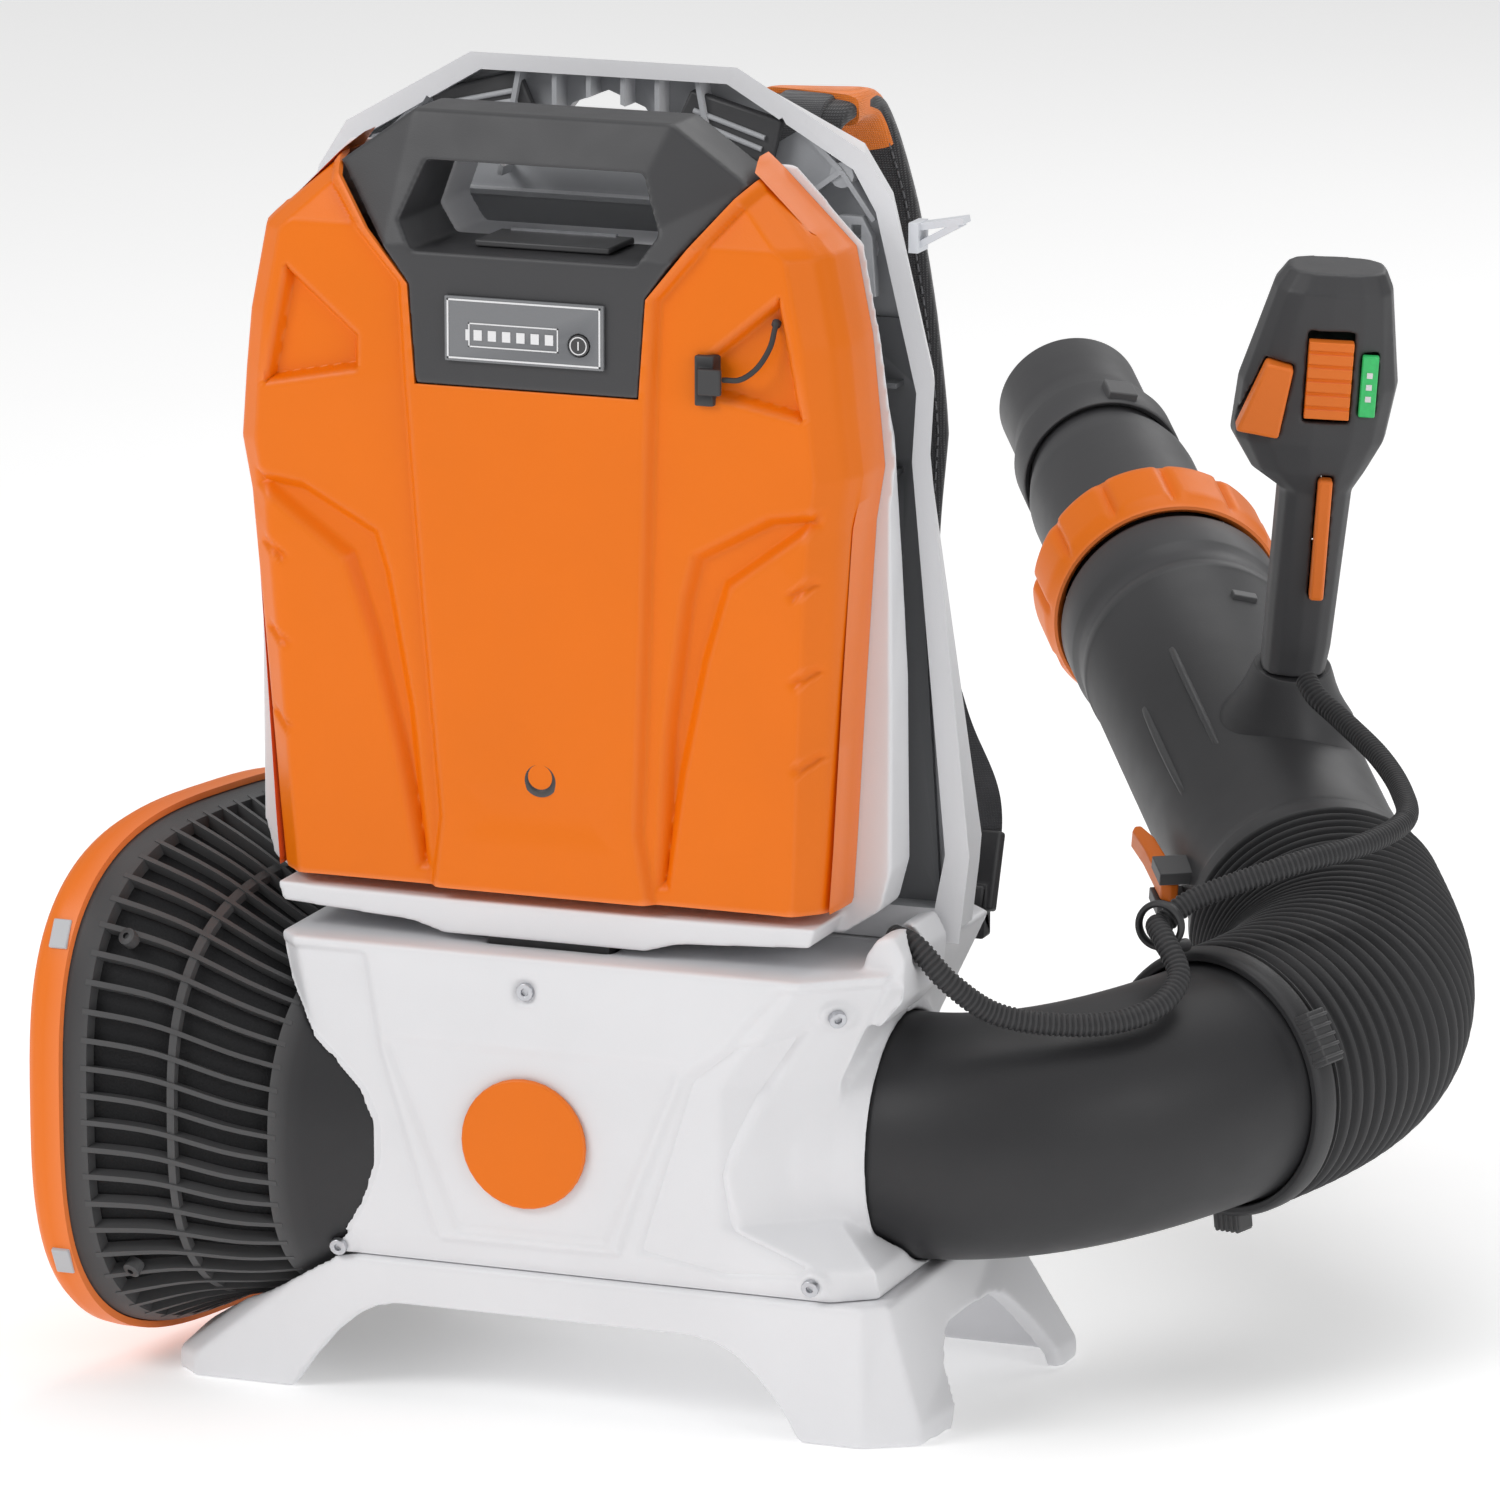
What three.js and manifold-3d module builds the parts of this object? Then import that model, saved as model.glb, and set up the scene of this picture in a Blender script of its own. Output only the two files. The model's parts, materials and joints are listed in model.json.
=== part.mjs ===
// Battery backpack leaf blower, worn on the back, in millimetres.
// +Z is up. -Y is the outer side, where the battery hangs, and +Y is the wearer's side.
// +X is the wearer's right, where the blow tube leaves. Z = 0 is the floor under the feet.
import * as THREE from 'three';
import { mergeVertices } from 'three/addons/utils/BufferGeometryUtils.js';
import Module from 'manifold-3d';

const wasm = await Module();
wasm.setup();

// ---------- driving dimensions ----------
const at3 = (x, y, z) => new THREE.Vector3(x, y, z);
const GAP = 0.4; // clearance between neighbouring pieces
const MACHINE_TOP = 624; // top edge of the backplate
const DECK = 68; // top of the base frame
const HOUSING_TOP = 219.5; // deck that the battery stands on
const SPLIT_Y = -2; // joint plane between housing cover and housing body
const HOUSING_FRONT = -96;
const HOUSING_BACK = 86;
const HOUSING_WALL = 4;
const FAN_Z = 127; // height of the fan axis, which runs along X through y = 0
const ROTOR_BORE = 62; // duct radius round the impeller
const PIPE_R = 57.5; // outer radius of the outlet elbow
const PIPE_WALL = 3;
const COLLAR_X = 152; // mouth of the outlet collar
const ELBOW_END = at3(278, 98, 142);
const ELBOW_DIR = at3(0.35, 0.93, 0.05).normalize();
const TUBE_START = at3(264, 270, 176);
const TUBE_DIR = at3(-0.51, 0.8, 0.28).normalize();
const BELLOWS_R = 64;
const BELLOWS_ROOT_R = 59.5;
const FOLD_PITCH = 13;
const TUBE_R = 56;
const NUT_AT = 318; // start of the union nut, measured along the tube
const NOZZLE_R = 45;
const TIP_R = 38;
const TIP_END = 553;
const GRIP_DIR = at3(0.1, -0.1, 0.99).normalize();
const GRIP_AT = 112; // where the control handle stands, measured along the tube
const GRIP_SIDE = 8; // and how far it stands to the right of the tube's axis
const BATTERY_FRONT = -98;
const SHELL_SPLIT = -40; // joint plane between the two battery shells
const BATTERY_BACK = -6;
const PLATE_BACK = 26; // wearer's side of the backplate at the shoulders
const PLATE_FOOT_BACK = 46; // and at its foot
const PLATE_FLOOR = 17; // floor of the backplate's recess
const RING_X = -188; // centre of the air intake's rim
const RING_Z = 138;
const RING_HALF = { y: 133, z: 125 };
const RING_TURN = THREE.MathUtils.degToRad(12);
const CABLE_R = 5.5;

// ---------- colours and finishes ----------
const finish = (color, roughness, metalness = 0) =>
  new THREE.MeshStandardMaterial({ color, roughness, metalness });
const ORANGE = finish(0xf07600, 0.4);
const WHITE = finish(0xebebee, 0.45);
const CHARCOAL = finish(0x3c3c3e, 0.55);
const BLACK = finish(0x1b1b1d, 0.5);
const RUBBER = finish(0x222224, 0.8);
const GREY = finish(0x6e7175, 0.6);
const CLEAR = finish(0xdfe3e6, 0.25);
const STEEL = finish(0xb9bcc0, 0.35, 0.9);
const COPPER = finish(0xb56a3a, 0.4, 0.8);
const FABRIC = finish(0x161617, 0.95);
const LAMP = finish(0x2fd060, 0.3);

const model = new THREE.Group();

function add(name, geometry, material, parent = model) {
  const mesh = new THREE.Mesh(geometry, material);
  mesh.name = name;
  parent.add(mesh);
  return mesh;
}

// ---------- solids and booleans ----------
function solid(geometry) {
  const bare = geometry.clone();
  bare.deleteAttribute('normal');
  bare.deleteAttribute('uv');
  const merged = mergeVertices(bare, 1e-4);
  return new wasm.Manifold(new wasm.Mesh({
    numProp: 3,
    vertProperties: new Float32Array(merged.attributes.position.array),
    triVerts: new Uint32Array(merged.index.array),
  }));
}

function geometryOf(manifold) {
  const { vertProperties, triVerts } = manifold.getMesh();
  const geometry = new THREE.BufferGeometry();
  geometry.setAttribute('position', new THREE.BufferAttribute(vertProperties, 3));
  geometry.setIndex(new THREE.BufferAttribute(triVerts, 1));
  return geometry;
}

const joined = (first, ...rest) => rest.reduce((sum, g) => sum.add(solid(g)), solid(first));
const cut = (from, ...tools) => tools.reduce((left, g) => left.subtract(solid(g)), from);

// ---------- basic shapes ----------
function block(x0, x1, y0, y1, z0, z1) {
  const g = new THREE.BoxGeometry(x1 - x0, y1 - y0, z1 - z0);
  return g.translate((x0 + x1) / 2, (y0 + y1) / 2, (z0 + z1) / 2);
}

// Extrudes an outline given as [a, b] pairs: (x, z) along Y, (y, z) along X or (x, y) along Z.
function prism(axis, outline, from, to) {
  const shape = new THREE.Shape(outline.map(([a, b]) => new THREE.Vector2(a, b)));
  const g = new THREE.ExtrudeGeometry(shape, { depth: to - from, bevelEnabled: false });
  if (axis === 'x') {
    const turn = new THREE.Matrix4().makeBasis(
      at3(0, 1, 0), at3(0, 0, 1), at3(1, 0, 0));
    return g.applyMatrix4(turn).translate(from, 0, 0);
  }
  if (axis === 'y') return g.rotateX(Math.PI / 2).translate(0, to, 0);
  return g.translate(0, 0, from);
}

// Mirrors the right half of an outline, listed from bottom to top, to the left.
const mirrored = (half) => [...half, ...half.map(([x, z]) => [-x, z]).reverse()];

// Turns a profile of [radius, along] pairs about Z. A profile off the axis is closed on itself.
function turned(profile, segments = 24) {
  const points = profile.map(([radius, along]) => new THREE.Vector2(radius, along));
  if (profile[0][0] > 0) points.push(points[0].clone());
  const g = new THREE.LatheGeometry(points, segments).rotateX(Math.PI / 2);
  return signedVolume(g) < 0 ? flipped(g) : g;
}
const turnedOnFanAxis = (profile, segments) =>
  turned(profile, segments).rotateY(Math.PI / 2).translate(0, 0, FAN_Z);

function rod(radius, from, to, segments = 12) {
  const way = to.clone().sub(from);
  const g = new THREE.CylinderGeometry(radius, radius, way.length(), segments);
  g.applyQuaternion(new THREE.Quaternion().setFromUnitVectors(
    at3(0, 1, 0), way.clone().normalize()));
  return g.translate(...from.clone().add(to).multiplyScalar(0.5).toArray());
}

// Skins a row of rings that all have the same number of points. With loop the last ring joins
// the first, as round a hollow pipe; without it both ends are closed by a fan of triangles.
function skin(rings, loop = false) {
  const count = rings[0].length;
  const position = rings.flat().flatMap((p) => [p.x, p.y, p.z]);
  const index = [];
  const last = loop ? rings.length : rings.length - 1;
  for (let i = 0; i < last; i += 1) {
    const a = i * count;
    const b = ((i + 1) % rings.length) * count;
    for (let k = 0; k < count; k += 1) {
      const n = (k + 1) % count;
      index.push(a + k, a + n, b + n, a + k, b + n, b + k);
    }
  }
  if (!loop) {
    const top = (rings.length - 1) * count;
    for (let k = 1; k < count - 1; k += 1) {
      index.push(0, k + 1, k, top, top + k, top + k + 1);
    }
  }
  const g = new THREE.BufferGeometry();
  g.setAttribute('position', new THREE.Float32BufferAttribute(position, 3));
  g.setIndex(index);
  return signedVolume(g) < 0 ? flipped(g) : g;
}

function signedVolume(g) {
  const p = g.attributes.position;
  const at = (k) => at3().fromBufferAttribute(p, g.index.getX(k));
  let sum = 0;
  for (let i = 0; i < g.index.count; i += 3) sum += at(i).dot(at(i + 1).cross(at(i + 2)));
  return sum;
}

function flipped(g) {
  const turnedOver = g.index.array.slice();
  for (let i = 0; i < turnedOver.length; i += 3) {
    [turnedOver[i], turnedOver[i + 1]] = [turnedOver[i + 1], turnedOver[i]];
  }
  g.setIndex([...turnedOver]);
  return g;
}

// ---------- pipes along curves ----------
// Cross frames along a curve, carried along without twist from the given up direction.
function framesAlong(curve, stations, up = at3(0, 0, 1)) {
  let side = up;
  return stations.map((t) => {
    const tangent = curve.getTangentAt(t);
    side = side.clone().addScaledVector(tangent, -side.dot(tangent)).normalize();
    return { at: curve.getPointAt(t), side, cross: tangent.clone().cross(side) };
  });
}

function circleOn(frame, radius, around) {
  return Array.from({ length: around }, (_, k) => {
    const angle = (2 * Math.PI * k) / around;
    return frame.at.clone()
      .addScaledVector(frame.side, radius * Math.cos(angle))
      .addScaledVector(frame.cross, radius * Math.sin(angle));
  });
}

const evenly = (from, to, steps) =>
  Array.from({ length: steps + 1 }, (_, i) => from + ((to - from) * i) / steps);

// A hollow pipe; outer(i) gives the outer radius at station i. The bore is plain and needs
// only every boreStep-th station.
function pipe(curve, stations, outer, bore, around, boreStep = 1) {
  const frames = framesAlong(curve, stations);
  const outside = frames.map((f, i) => circleOn(f, outer(i), around));
  const inside = frames.filter((f, i) => i % boreStep === 0 || i === frames.length - 1)
    .map((f) => circleOn(f, bore, around)).reverse();
  return skin([...outside, ...inside], true);
}

const smoothPath = (points) => new THREE.CatmullRomCurve3(points, false, 'centripetal');

// A round cord along part of a curve.
function cord(curve, from, to, radius, steps) {
  const frames = framesAlong(curve, evenly(from, to, steps), at3(0.3, 0.2, 1));
  return skin(frames.map((f) => circleOn(f, radius, 8)));
}

// ---------- air intake: a funnel from the round duct to a rounded square rim ----------
const FUNNEL_SIDES = 32;
const FUNNEL = [
  { x: -68, y: 0, z: FAN_Z, half: { y: 88, z: 79 }, power: 2 },
  { x: -90, y: -1, z: 119, half: { y: 102, z: 80 }, power: 2.3 },
  { x: -124, y: -2, z: 124, half: { y: 117, z: 91 }, power: 2.6 },
  { x: -158, y: -4, z: 135, half: { y: 127, z: 108 }, power: 2.8 },
  { x: RING_X, y: -5, z: RING_Z, half: RING_HALF, power: 3 },
];

function roundedSquare(station, turn, grow, around) {
  return Array.from({ length: around }, (_, k) => {
    const angle = (2 * Math.PI * (k + 0.5)) / around;
    const bend = (value) => Math.sign(value) * Math.abs(value) ** (2 / station.power);
    const y = (station.half.y + grow) * bend(Math.cos(angle));
    const z = (station.half.z + grow) * bend(Math.sin(angle));
    const p = at3(0, y, z).applyAxisAngle(at3(0, 0, 1), turn);
    return p.add(at3(station.x, station.y, station.z));
  });
}

const funnelTurn = (i) => (-RING_TURN * i) / (FUNNEL.length - 1);
const funnelRings = (grow, around) =>
  FUNNEL.map((station, i) => roundedSquare(station, funnelTurn(i), grow, around));

// The space the funnel and its rim need, cut out of the pieces round it.
function funnelSpace(clearance) {
  const beyond = { ...FUNNEL[4], x: RING_X - 40 };
  const before = { ...FUNNEL[0], x: FUNNEL[0].x + 5 };
  return skin([
    roundedSquare(before, 0, clearance, FUNNEL_SIDES), ...funnelRings(clearance, FUNNEL_SIDES),
    roundedSquare(beyond, -RING_TURN, clearance + 5, FUNNEL_SIDES),
  ]);
}

// The space round the fan duct, cut out of the base frame and the housing.
const ductSpace = () => turnedOnFanAxis([
  [0, -70], [80, -70], [70, -60], [66.5, -54], [66.5, 108], [0, 108]], 24);

function intakeSlot(angle, from, to) {
  const ringAt = (i) => {
    const s = FUNNEL[i];
    const bend = (value) => Math.sign(value) * Math.abs(value) ** (2 / s.power);
    return at3(0, s.half.y * bend(Math.cos(angle)), s.half.z * bend(Math.sin(angle)))
      .applyAxisAngle(at3(0, 0, 1), funnelTurn(i))
      .add(at3(s.x, s.y, s.z));
  };
  const a = ringAt(from);
  const b = ringAt(to);
  const along = b.clone().sub(a).normalize();
  const radial = at3(0, a.y, a.z - FAN_Z).normalize();
  const side = along.clone().cross(radial).normalize();
  const out = side.clone().cross(along);
  const g = new THREE.BoxGeometry(a.distanceTo(b) - 9, 30, 6);
  g.applyMatrix4(new THREE.Matrix4().makeBasis(along, out, along.clone().cross(out)));
  return g.translate(...a.clone().add(b).multiplyScalar(0.5).toArray());
}

function buildIntake() {
  const around = FUNNEL_SIDES;
  const wall = 3;
  const lip = { ...FUNNEL[4], x: RING_X - 5 };
  const outside = [...funnelRings(0, around), roundedSquare(lip, -RING_TURN, 0, around)];
  const inside = [
    roundedSquare(lip, -RING_TURN, -wall, around), ...funnelRings(-wall, around).reverse()];
  let grille = solid(skin([...outside, ...inside], true));
  const slots = 20;
  for (let k = 0; k < slots; k += 1) {
    const angle = (2 * Math.PI * (k + 0.5)) / slots;
    grille = cut(grille, intakeSlot(angle, 2, 4));
  }
  add('intake_grille', geometryOf(grille), BLACK);

  const cap = (x, grow) => roundedSquare({ ...FUNNEL[4], x }, -RING_TURN, grow, around);
  const dish = skin([
    cap(RING_X - 27, -60), cap(RING_X - 21, -8), cap(RING_X - 15, 0.5), cap(RING_X - 3, 0.5),
    cap(RING_X - 3, 3.6), cap(RING_X - 18, 3.2), cap(RING_X - 24, -6), cap(RING_X - 30, -60),
  ]);
  add('intake_cover', dish, ORANGE);
}

// ---------- base frame, housing and its cover ----------
function eightSided(x0, x1, y0, y1, corner, z) {
  return [
    [x0 + corner, y0], [x1 - corner, y0], [x1, y0 + corner], [x1, y1 - corner],
    [x1 - corner, y1], [x0 + corner, y1], [x0, y1 - corner], [x0, y0 + corner],
  ].map(([x, y]) => at3(x, y, z));
}

function archOutline(left, right, top, spread) {
  const shape = new THREE.Path();
  shape.moveTo(left, -1);
  shape.quadraticCurveTo(left + spread * 0.55, top, left + spread, top);
  shape.lineTo(right - spread, top);
  shape.quadraticCurveTo(right - spread * 0.45, top, right, -1);
  return shape.getPoints(5).map((p) => [p.x, p.y]);
}

// The footprint is narrower on the outer side than on the wearer's side.
function footprint(shrink, z) {
  const outer = 186 - shrink;
  const inner = 206 - shrink;
  const y0 = -90 + shrink;
  const y1 = 104 - shrink;
  return [
    [-outer + 12, y0], [outer - 24, y0], [outer, y0 + 14], [inner, y1 - 18], [inner - 14, y1],
    [-inner + 14, y1], [-inner, y1 - 18], [-outer, y0 + 10],
  ].map(([x, y]) => at3(x, y, z));
}

function buildBase() {
  const lip = 10;
  const deckRing = (shrink, z) =>
    eightSided(-112 + shrink, 172 - shrink, -93 + shrink, 90 - shrink, 10, z);
  const outside = skin([footprint(0, 0), footprint(0, lip), deckRing(0, DECK)]);
  const inside = skin([footprint(9, -1), footprint(9, lip - 4), deckRing(8, DECK - 8)]);
  const endArch = prism('y', archOutline(-124, 131, 46, 55), -120, 130);
  const sideArch = prism('x', archOutline(-44, 68, 42, 30), -240, 240);
  const frame = cut(solid(outside), inside, endArch, sideArch, funnelSpace(4), ductSpace());
  add('base_frame', geometryOf(frame), WHITE);
}

// The corner next to the outlet is cut back, so that the collar stands free of it.
function housingLoft(inset, raise) {
  const back = HOUSING_BACK - inset;
  const ring = (left, right, front, shy, z) => {
    const x0 = left + inset;
    const x1 = right - inset;
    const y0 = front + inset;
    return [
      [x0 + 10, y0], [x1 - shy * 1.3, y0], [x1, y0 + shy], [x1, back - 14],
      [x1 - 14, back], [x0 + 14, back], [x0, back - 14], [x0, y0 + 10],
    ].map(([x, y]) => at3(x, y, z));
  };
  return skin([
    ring(-112, 166, -92, 14, DECK + GAP + raise), ring(-112, 164, HOUSING_FRONT, 16, 82),
    ring(-112, 140, HOUSING_FRONT, 34, 100), ring(-118, 140, HOUSING_FRONT, 34, 165),
    ring(-130, 166, -93, 26, HOUSING_TOP - raise),
  ]);
}

function buildHousing() {
  const flare = turnedOnFanAxis([
    [PIPE_R + 0.7, 110], [80, 110], [76, 124], [68, 138], [63.5, COLLAR_X - 3], [61.5, COLLAR_X],
    [PIPE_R + 0.7, COLLAR_X],
  ], 48);
  const bore = turnedOnFanAxis(
    [[0, 105], [PIPE_R + 0.7, 105], [PIPE_R + 0.7, 200], [0, 200]], 48);
  const pocket = skin([
    mirrored([[40, 84], [78, 178]]).map(([x, z]) => at3(x, HOUSING_FRONT - 1, z)),
    mirrored([[36, 88], [72, 174]]).map(([x, z]) => at3(x, HOUSING_FRONT + 2.2, z)),
  ]);
  const far = 400;
  const belowDeck = block(-far, far, -far, far, -far, DECK + GAP);
  const shoulder = prism('y', [
    [150, 205], [158, 192], [170, 206], [172, 226], [166, 237], [158, 235], [152, 226]], -62, -2.5);
  const shell = cut(
    joined(housingLoft(0, 0)), housingLoft(HOUSING_WALL, HOUSING_WALL), funnelSpace(1.5),
    ductSpace()).add(cut(solid(flare), belowDeck)).add(solid(shoulder)).subtract(solid(bore));
  const wearerSide = block(-far, far, SPLIT_Y, far, -far, far);
  const outerSide = block(-far, far, -far, SPLIT_Y + GAP, -far, far);
  const socketHole = block(-31, 31, -72, -38, HOUSING_TOP - 10, HOUSING_TOP + 1);
  const cableHole = rod(CABLE_R + 2, at3(150, -30, 231), at3(178, -45, 226), 16);
  const screwPocket = block(-9, 3, -110, -91.2, 197, 209);
  add('housing_cover', geometryOf(
    cut(shell, wearerSide, pocket, socketHole, cableHole, screwPocket)), WHITE);
  add('housing_body', geometryOf(cut(shell, outerSide)), WHITE);

  const badge = rod(
    31, at3(-3, HOUSING_FRONT + 1.8, 131), at3(-3, -97.2, 131), 36);
  add('badge_disc', badge, ORANGE);
}

function screw(name, x, y, z, direction = at3(0, -1, 0), head = 4.2) {
  const start = at3(x, y, z);
  const disc = rod(head, start, start.clone().addScaledVector(direction, 3), 12);
  const socket = rod(
    head * 0.45, start.clone().addScaledVector(direction, 1.2),
    start.clone().addScaledVector(direction, 4), 6);
  add(name, geometryOf(cut(solid(disc), socket)), STEEL);
}

// ---------- backplate with its recess, ribs, channels and battery locks ----------
const PLATE_HALF = [[66, MACHINE_TOP], [129, 588], [143, 566], [163, 484], [161, 450]];
const RECESS_HALF = [[61, 616], [123, 580], [134, 561], [154, 478], [152, 446]];
const PLATE_DRAFT = 10; // how far the plate's sides lean in towards the wearer

function plateOutline(lean = 0) {
  const left = PLATE_HALF.map(([x, z]) => [-x, z]);
  const outline = [[176, HOUSING_TOP + 0.6], [181, 262], ...[...PLATE_HALF].reverse(),
    ...left, [-158, 306], [-148, 272], [-122, HOUSING_TOP + 0.6]];
  return outline.map(([x, z]) => [x - Math.sign(x) * lean, z > 600 ? z - lean * 0.6 : z]);
}

function recessOutline() {
  const left = RECESS_HALF.map(([x, z]) => [-x, z]);
  return [[164, 236], [169, 262], ...[...RECESS_HALF].reverse(), ...left, [-149, 306],
    [-136, 276], [-112, 236]];
}

function plateRibs() {
  const ribs = [];
  for (const x of [-26, -9, 8, 25]) ribs.push(block(x - 1.2, x + 1.2, 4, PLATE_FLOOR + 1, 592, 617));
  for (const side of [-1, 1]) {
    const web = (x0, z0, x1, z1) => {
      const run = new THREE.Vector2(x1 - x0, z1 - z0);
      const g = block(-run.length() / 2, run.length() / 2, 5, PLATE_FLOOR + 1, -1.2, 1.2);
      g.rotateY(-Math.atan2(run.y, run.x));
      return g.translate((x0 + x1) / 2, 0, (z0 + z1) / 2);
    };
    ribs.push(web(side * 44, 617, side * 54, 566));
    for (const [x, z] of [[92, 600], [131, 556], [90, 560]]) ribs.push(web(side * 115, 578, side * x, z));
    ribs.push(rod(6, at3(side * 115, 6, 576), at3(side * 115, PLATE_FLOOR + 1, 576), 12));
    ribs.push(rod(6.5, at3(side * 123, 9, 541), at3(side * 123, PLATE_FLOOR + 1, 541), 12));
  }
  ribs.push(block(-100, 100, 8, PLATE_FLOOR + 1, 556, 558.4));
  return ribs;
}

// The back of the plate leans out towards its foot.
function plateBackAt(z) {
  const share = THREE.MathUtils.clamp((430 - z) / 180, 0, 1);
  return PLATE_BACK + share * (PLATE_FOOT_BACK - PLATE_BACK);
}

function buildBackplate() {
  const sideView = prism('x', [
    [-1, 200], [plateBackAt(200), 200], [plateBackAt(250), 250], [plateBackAt(430), 430],
    [PLATE_BACK, 660], [-1, 660]], -300, 300);
  const drafted = skin([atY(plateOutline(), 0), atY(plateOutline(PLATE_DRAFT), PLATE_BACK),
    atY(plateOutline(PLATE_DRAFT), 100)]);
  const outer = solid(drafted).intersect(solid(sideView));
  const handHole = prism('y', [[-30, 590], [22, 590], [14, 600], [-4, 607], [-22, 600]], 0, 60);
  const slot = (side) => block(-4, 4, 0, 60, -24, 24)
    .rotateY(side * THREE.MathUtils.degToRad(58)).translate(side * 70, 0, 586);
  let plate = cut(outer, prism('y', recessOutline(), -5, PLATE_FLOOR), funnelSpace(3));
  plate = plateRibs().reduce((sum, g) => sum.add(solid(g)), plate);
  add('backplate', geometryOf(cut(plate, handHole, slot(1), slot(-1))), WHITE);

  for (const [name, side] of [['left', -1], ['right', 1]]) {
    const bottom = side > 0 ? 236 : 318;
    const wide = side > 0 ? 162 : 142;
    const outline = [[118, bottom], [wide, bottom], [149, 446], [151, 478], [143, 510], [112, 510]]
      .map(([x, z]) => [side * x, z]);
    const floor = prism('y', outline, PLATE_FLOOR - 3.4, PLATE_FLOOR - GAP);
    let strip = solid(floor);
    for (let z = bottom + 38; z < 505; z += 41) {
      strip = strip.add(solid(block(side * 131 - 12, side * 131 + 12, 3, PLATE_FLOOR - 2, z, z + 2.4)));
    }
    add(`side_channel_${name}`, geometryOf(strip), GREY);
  }
}

function buildLocks() {
  for (const [name, side] of [['left', -1], ['right', 1]]) {
    const plate = prism('y', [
      [114.5, 521], [133, 521], [131, 549], [126, 558], [114.5, 558]], 3, 8.5);
    const guide = block(120.5, 125.5, -5, 20, 538, 554);
    const nose = block(108, 115, 3, 8.5, 529, 544);
    const lock = joined(plate, nose).subtract(solid(guide));
    const g = geometryOf(lock);
    if (side < 0) {
      g.scale(-1, 1, 1);
      flipped(g);
    }
    add(`battery_lock_${name}`, g, GREY);
    const at = at3(side * 123, 0, 541);
    const head = rod(5, at.clone().setY(-0.6), at.clone().setY(2.6), 14);
    const shank = rod(2, at.clone().setY(2), at.clone().setY(8.7), 10);
    add(`lock_screw_${name}`, geometryOf(joined(head, shank)), STEEL);
  }
}

function buildCableClip() {
  const foot = block(147.6, 152.4, 6, 20, 542, 556);
  const prongs = [1, -1].map((side) => block(0, 24, 8, 18, -1.6, 1.6)
    .rotateY(-0.35 + side * 0.16).translate(150, 0, 549 + side * 4.5));
  add('cable_clip', geometryOf(joined(foot, ...prongs)), CLEAR);
}

// ---------- fan, motor and controller ----------
function buildFan() {
  let duct = solid(turnedOnFanAxis([
    [75, -67], [66, -60], [ROTOR_BORE, -54], [ROTOR_BORE, -10], [57, 60], [54.4, 119],
    [57, 119], [59.5, 60], [64.5, -10], [64.5, -54], [68.5, -60], [77.5, -67],
  ]));
  const vanes = 7;
  for (let k = 0; k < vanes; k += 1) {
    const vane = block(6, 38, -1.2, 1.2, 30.6, 60.8).rotateX((2 * Math.PI * k) / vanes);
    duct = duct.add(solid(vane.translate(0, 0, FAN_Z)));
  }
  add('fan_duct', geometryOf(duct), CHARCOAL);

  let impeller = solid(turnedOnFanAxis([
    [0, -78], [12, -74], [24, -62], [28, -50], [28, -24.5], [5.3, -24.5], [5.3, -59.5], [0, -59.5],
  ]));
  const blades = 9;
  for (let k = 0; k < blades; k += 1) {
    const blade = block(-13, 13, -1.3, 1.3, 26, 59.5).rotateZ(0.75).translate(-39, 0, 0);
    blade.rotateX((2 * Math.PI * k) / blades);
    impeller = impeller.add(solid(blade.translate(0, 0, FAN_Z)));
  }
  add('impeller', geometryOf(impeller), BLACK);
}

function buildMotor() {
  const ring = (inner, outer, from, to, segments = 24) => turnedOnFanAxis(
    [[inner, from], [outer, from], [outer, to], [inner, to]], segments);
  add('motor_housing', turnedOnFanAxis([
    [11.4, -22], [26, -22], [30, -16], [30, 46], [14, 70], [11.4, 70], [11.4, 48], [27, 44],
    [27, -12], [11.4, -12],
  ]), STEEL);
  add('motor_stator', ring(17, 26.6, -2, 34), COPPER);
  add('bearing_front', ring(5.3, 11, -21.5, -13), STEEL);
  add('bearing_rear', ring(5.3, 11, 49, 57.5), STEEL);
  const shaft = rod(
    4.9, at3(-59, 0, FAN_Z), at3(62, 0, FAN_Z), 20);
  add('motor_rotor', geometryOf(joined(shaft, ring(4, 16.4, -2, 34))), STEEL);
}

function buildElectronics() {
  const box = solid(block(8, 104, -34, 62, 194, 212));
  const fins = [-20, 2, 24, 46].map((y) => block(14, 98, y - 3, y + 3, 208, 216));
  add('controller_box', geometryOf(cut(box, ...fins)), STEEL);
  const socket = joined(block(-30, 30, -71, -39, HOUSING_TOP - 14, HOUSING_TOP + 3));
  const slots = [-20, -8, 8, 20].map((x) => block(x - 2, x + 2, -66, -44, HOUSING_TOP - 4, 240));
  add('power_socket', geometryOf(cut(socket, ...slots)), BLACK);
}

// ---------- battery pack ----------
const PACK_HALF = [
  [50, 246], [137, 251], [139, 276], [143, 347], [148, 427], [152.5, 452], [146, 512],
  [138, 552], [104, 585],
];
const BLOCK_HALF = [[54.5, 486], [58, 532], [100, 583], [63, 609]];

const HAND_OPENING = [[-56, 547], [54, 547], [62, 560], [52, 587], [-54, 587], [-64, 560]];
const atY = (outline, y) => outline.map(([x, z]) => at3(x, y, z));

// Moves an outline towards its middle by about the given distance.
function inset(outline, distance, middle = 415) {
  return outline.map(([x, z]) => [
    x - Math.sign(x) * distance, z - Math.sign(z - middle) * distance]);
}

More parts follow.
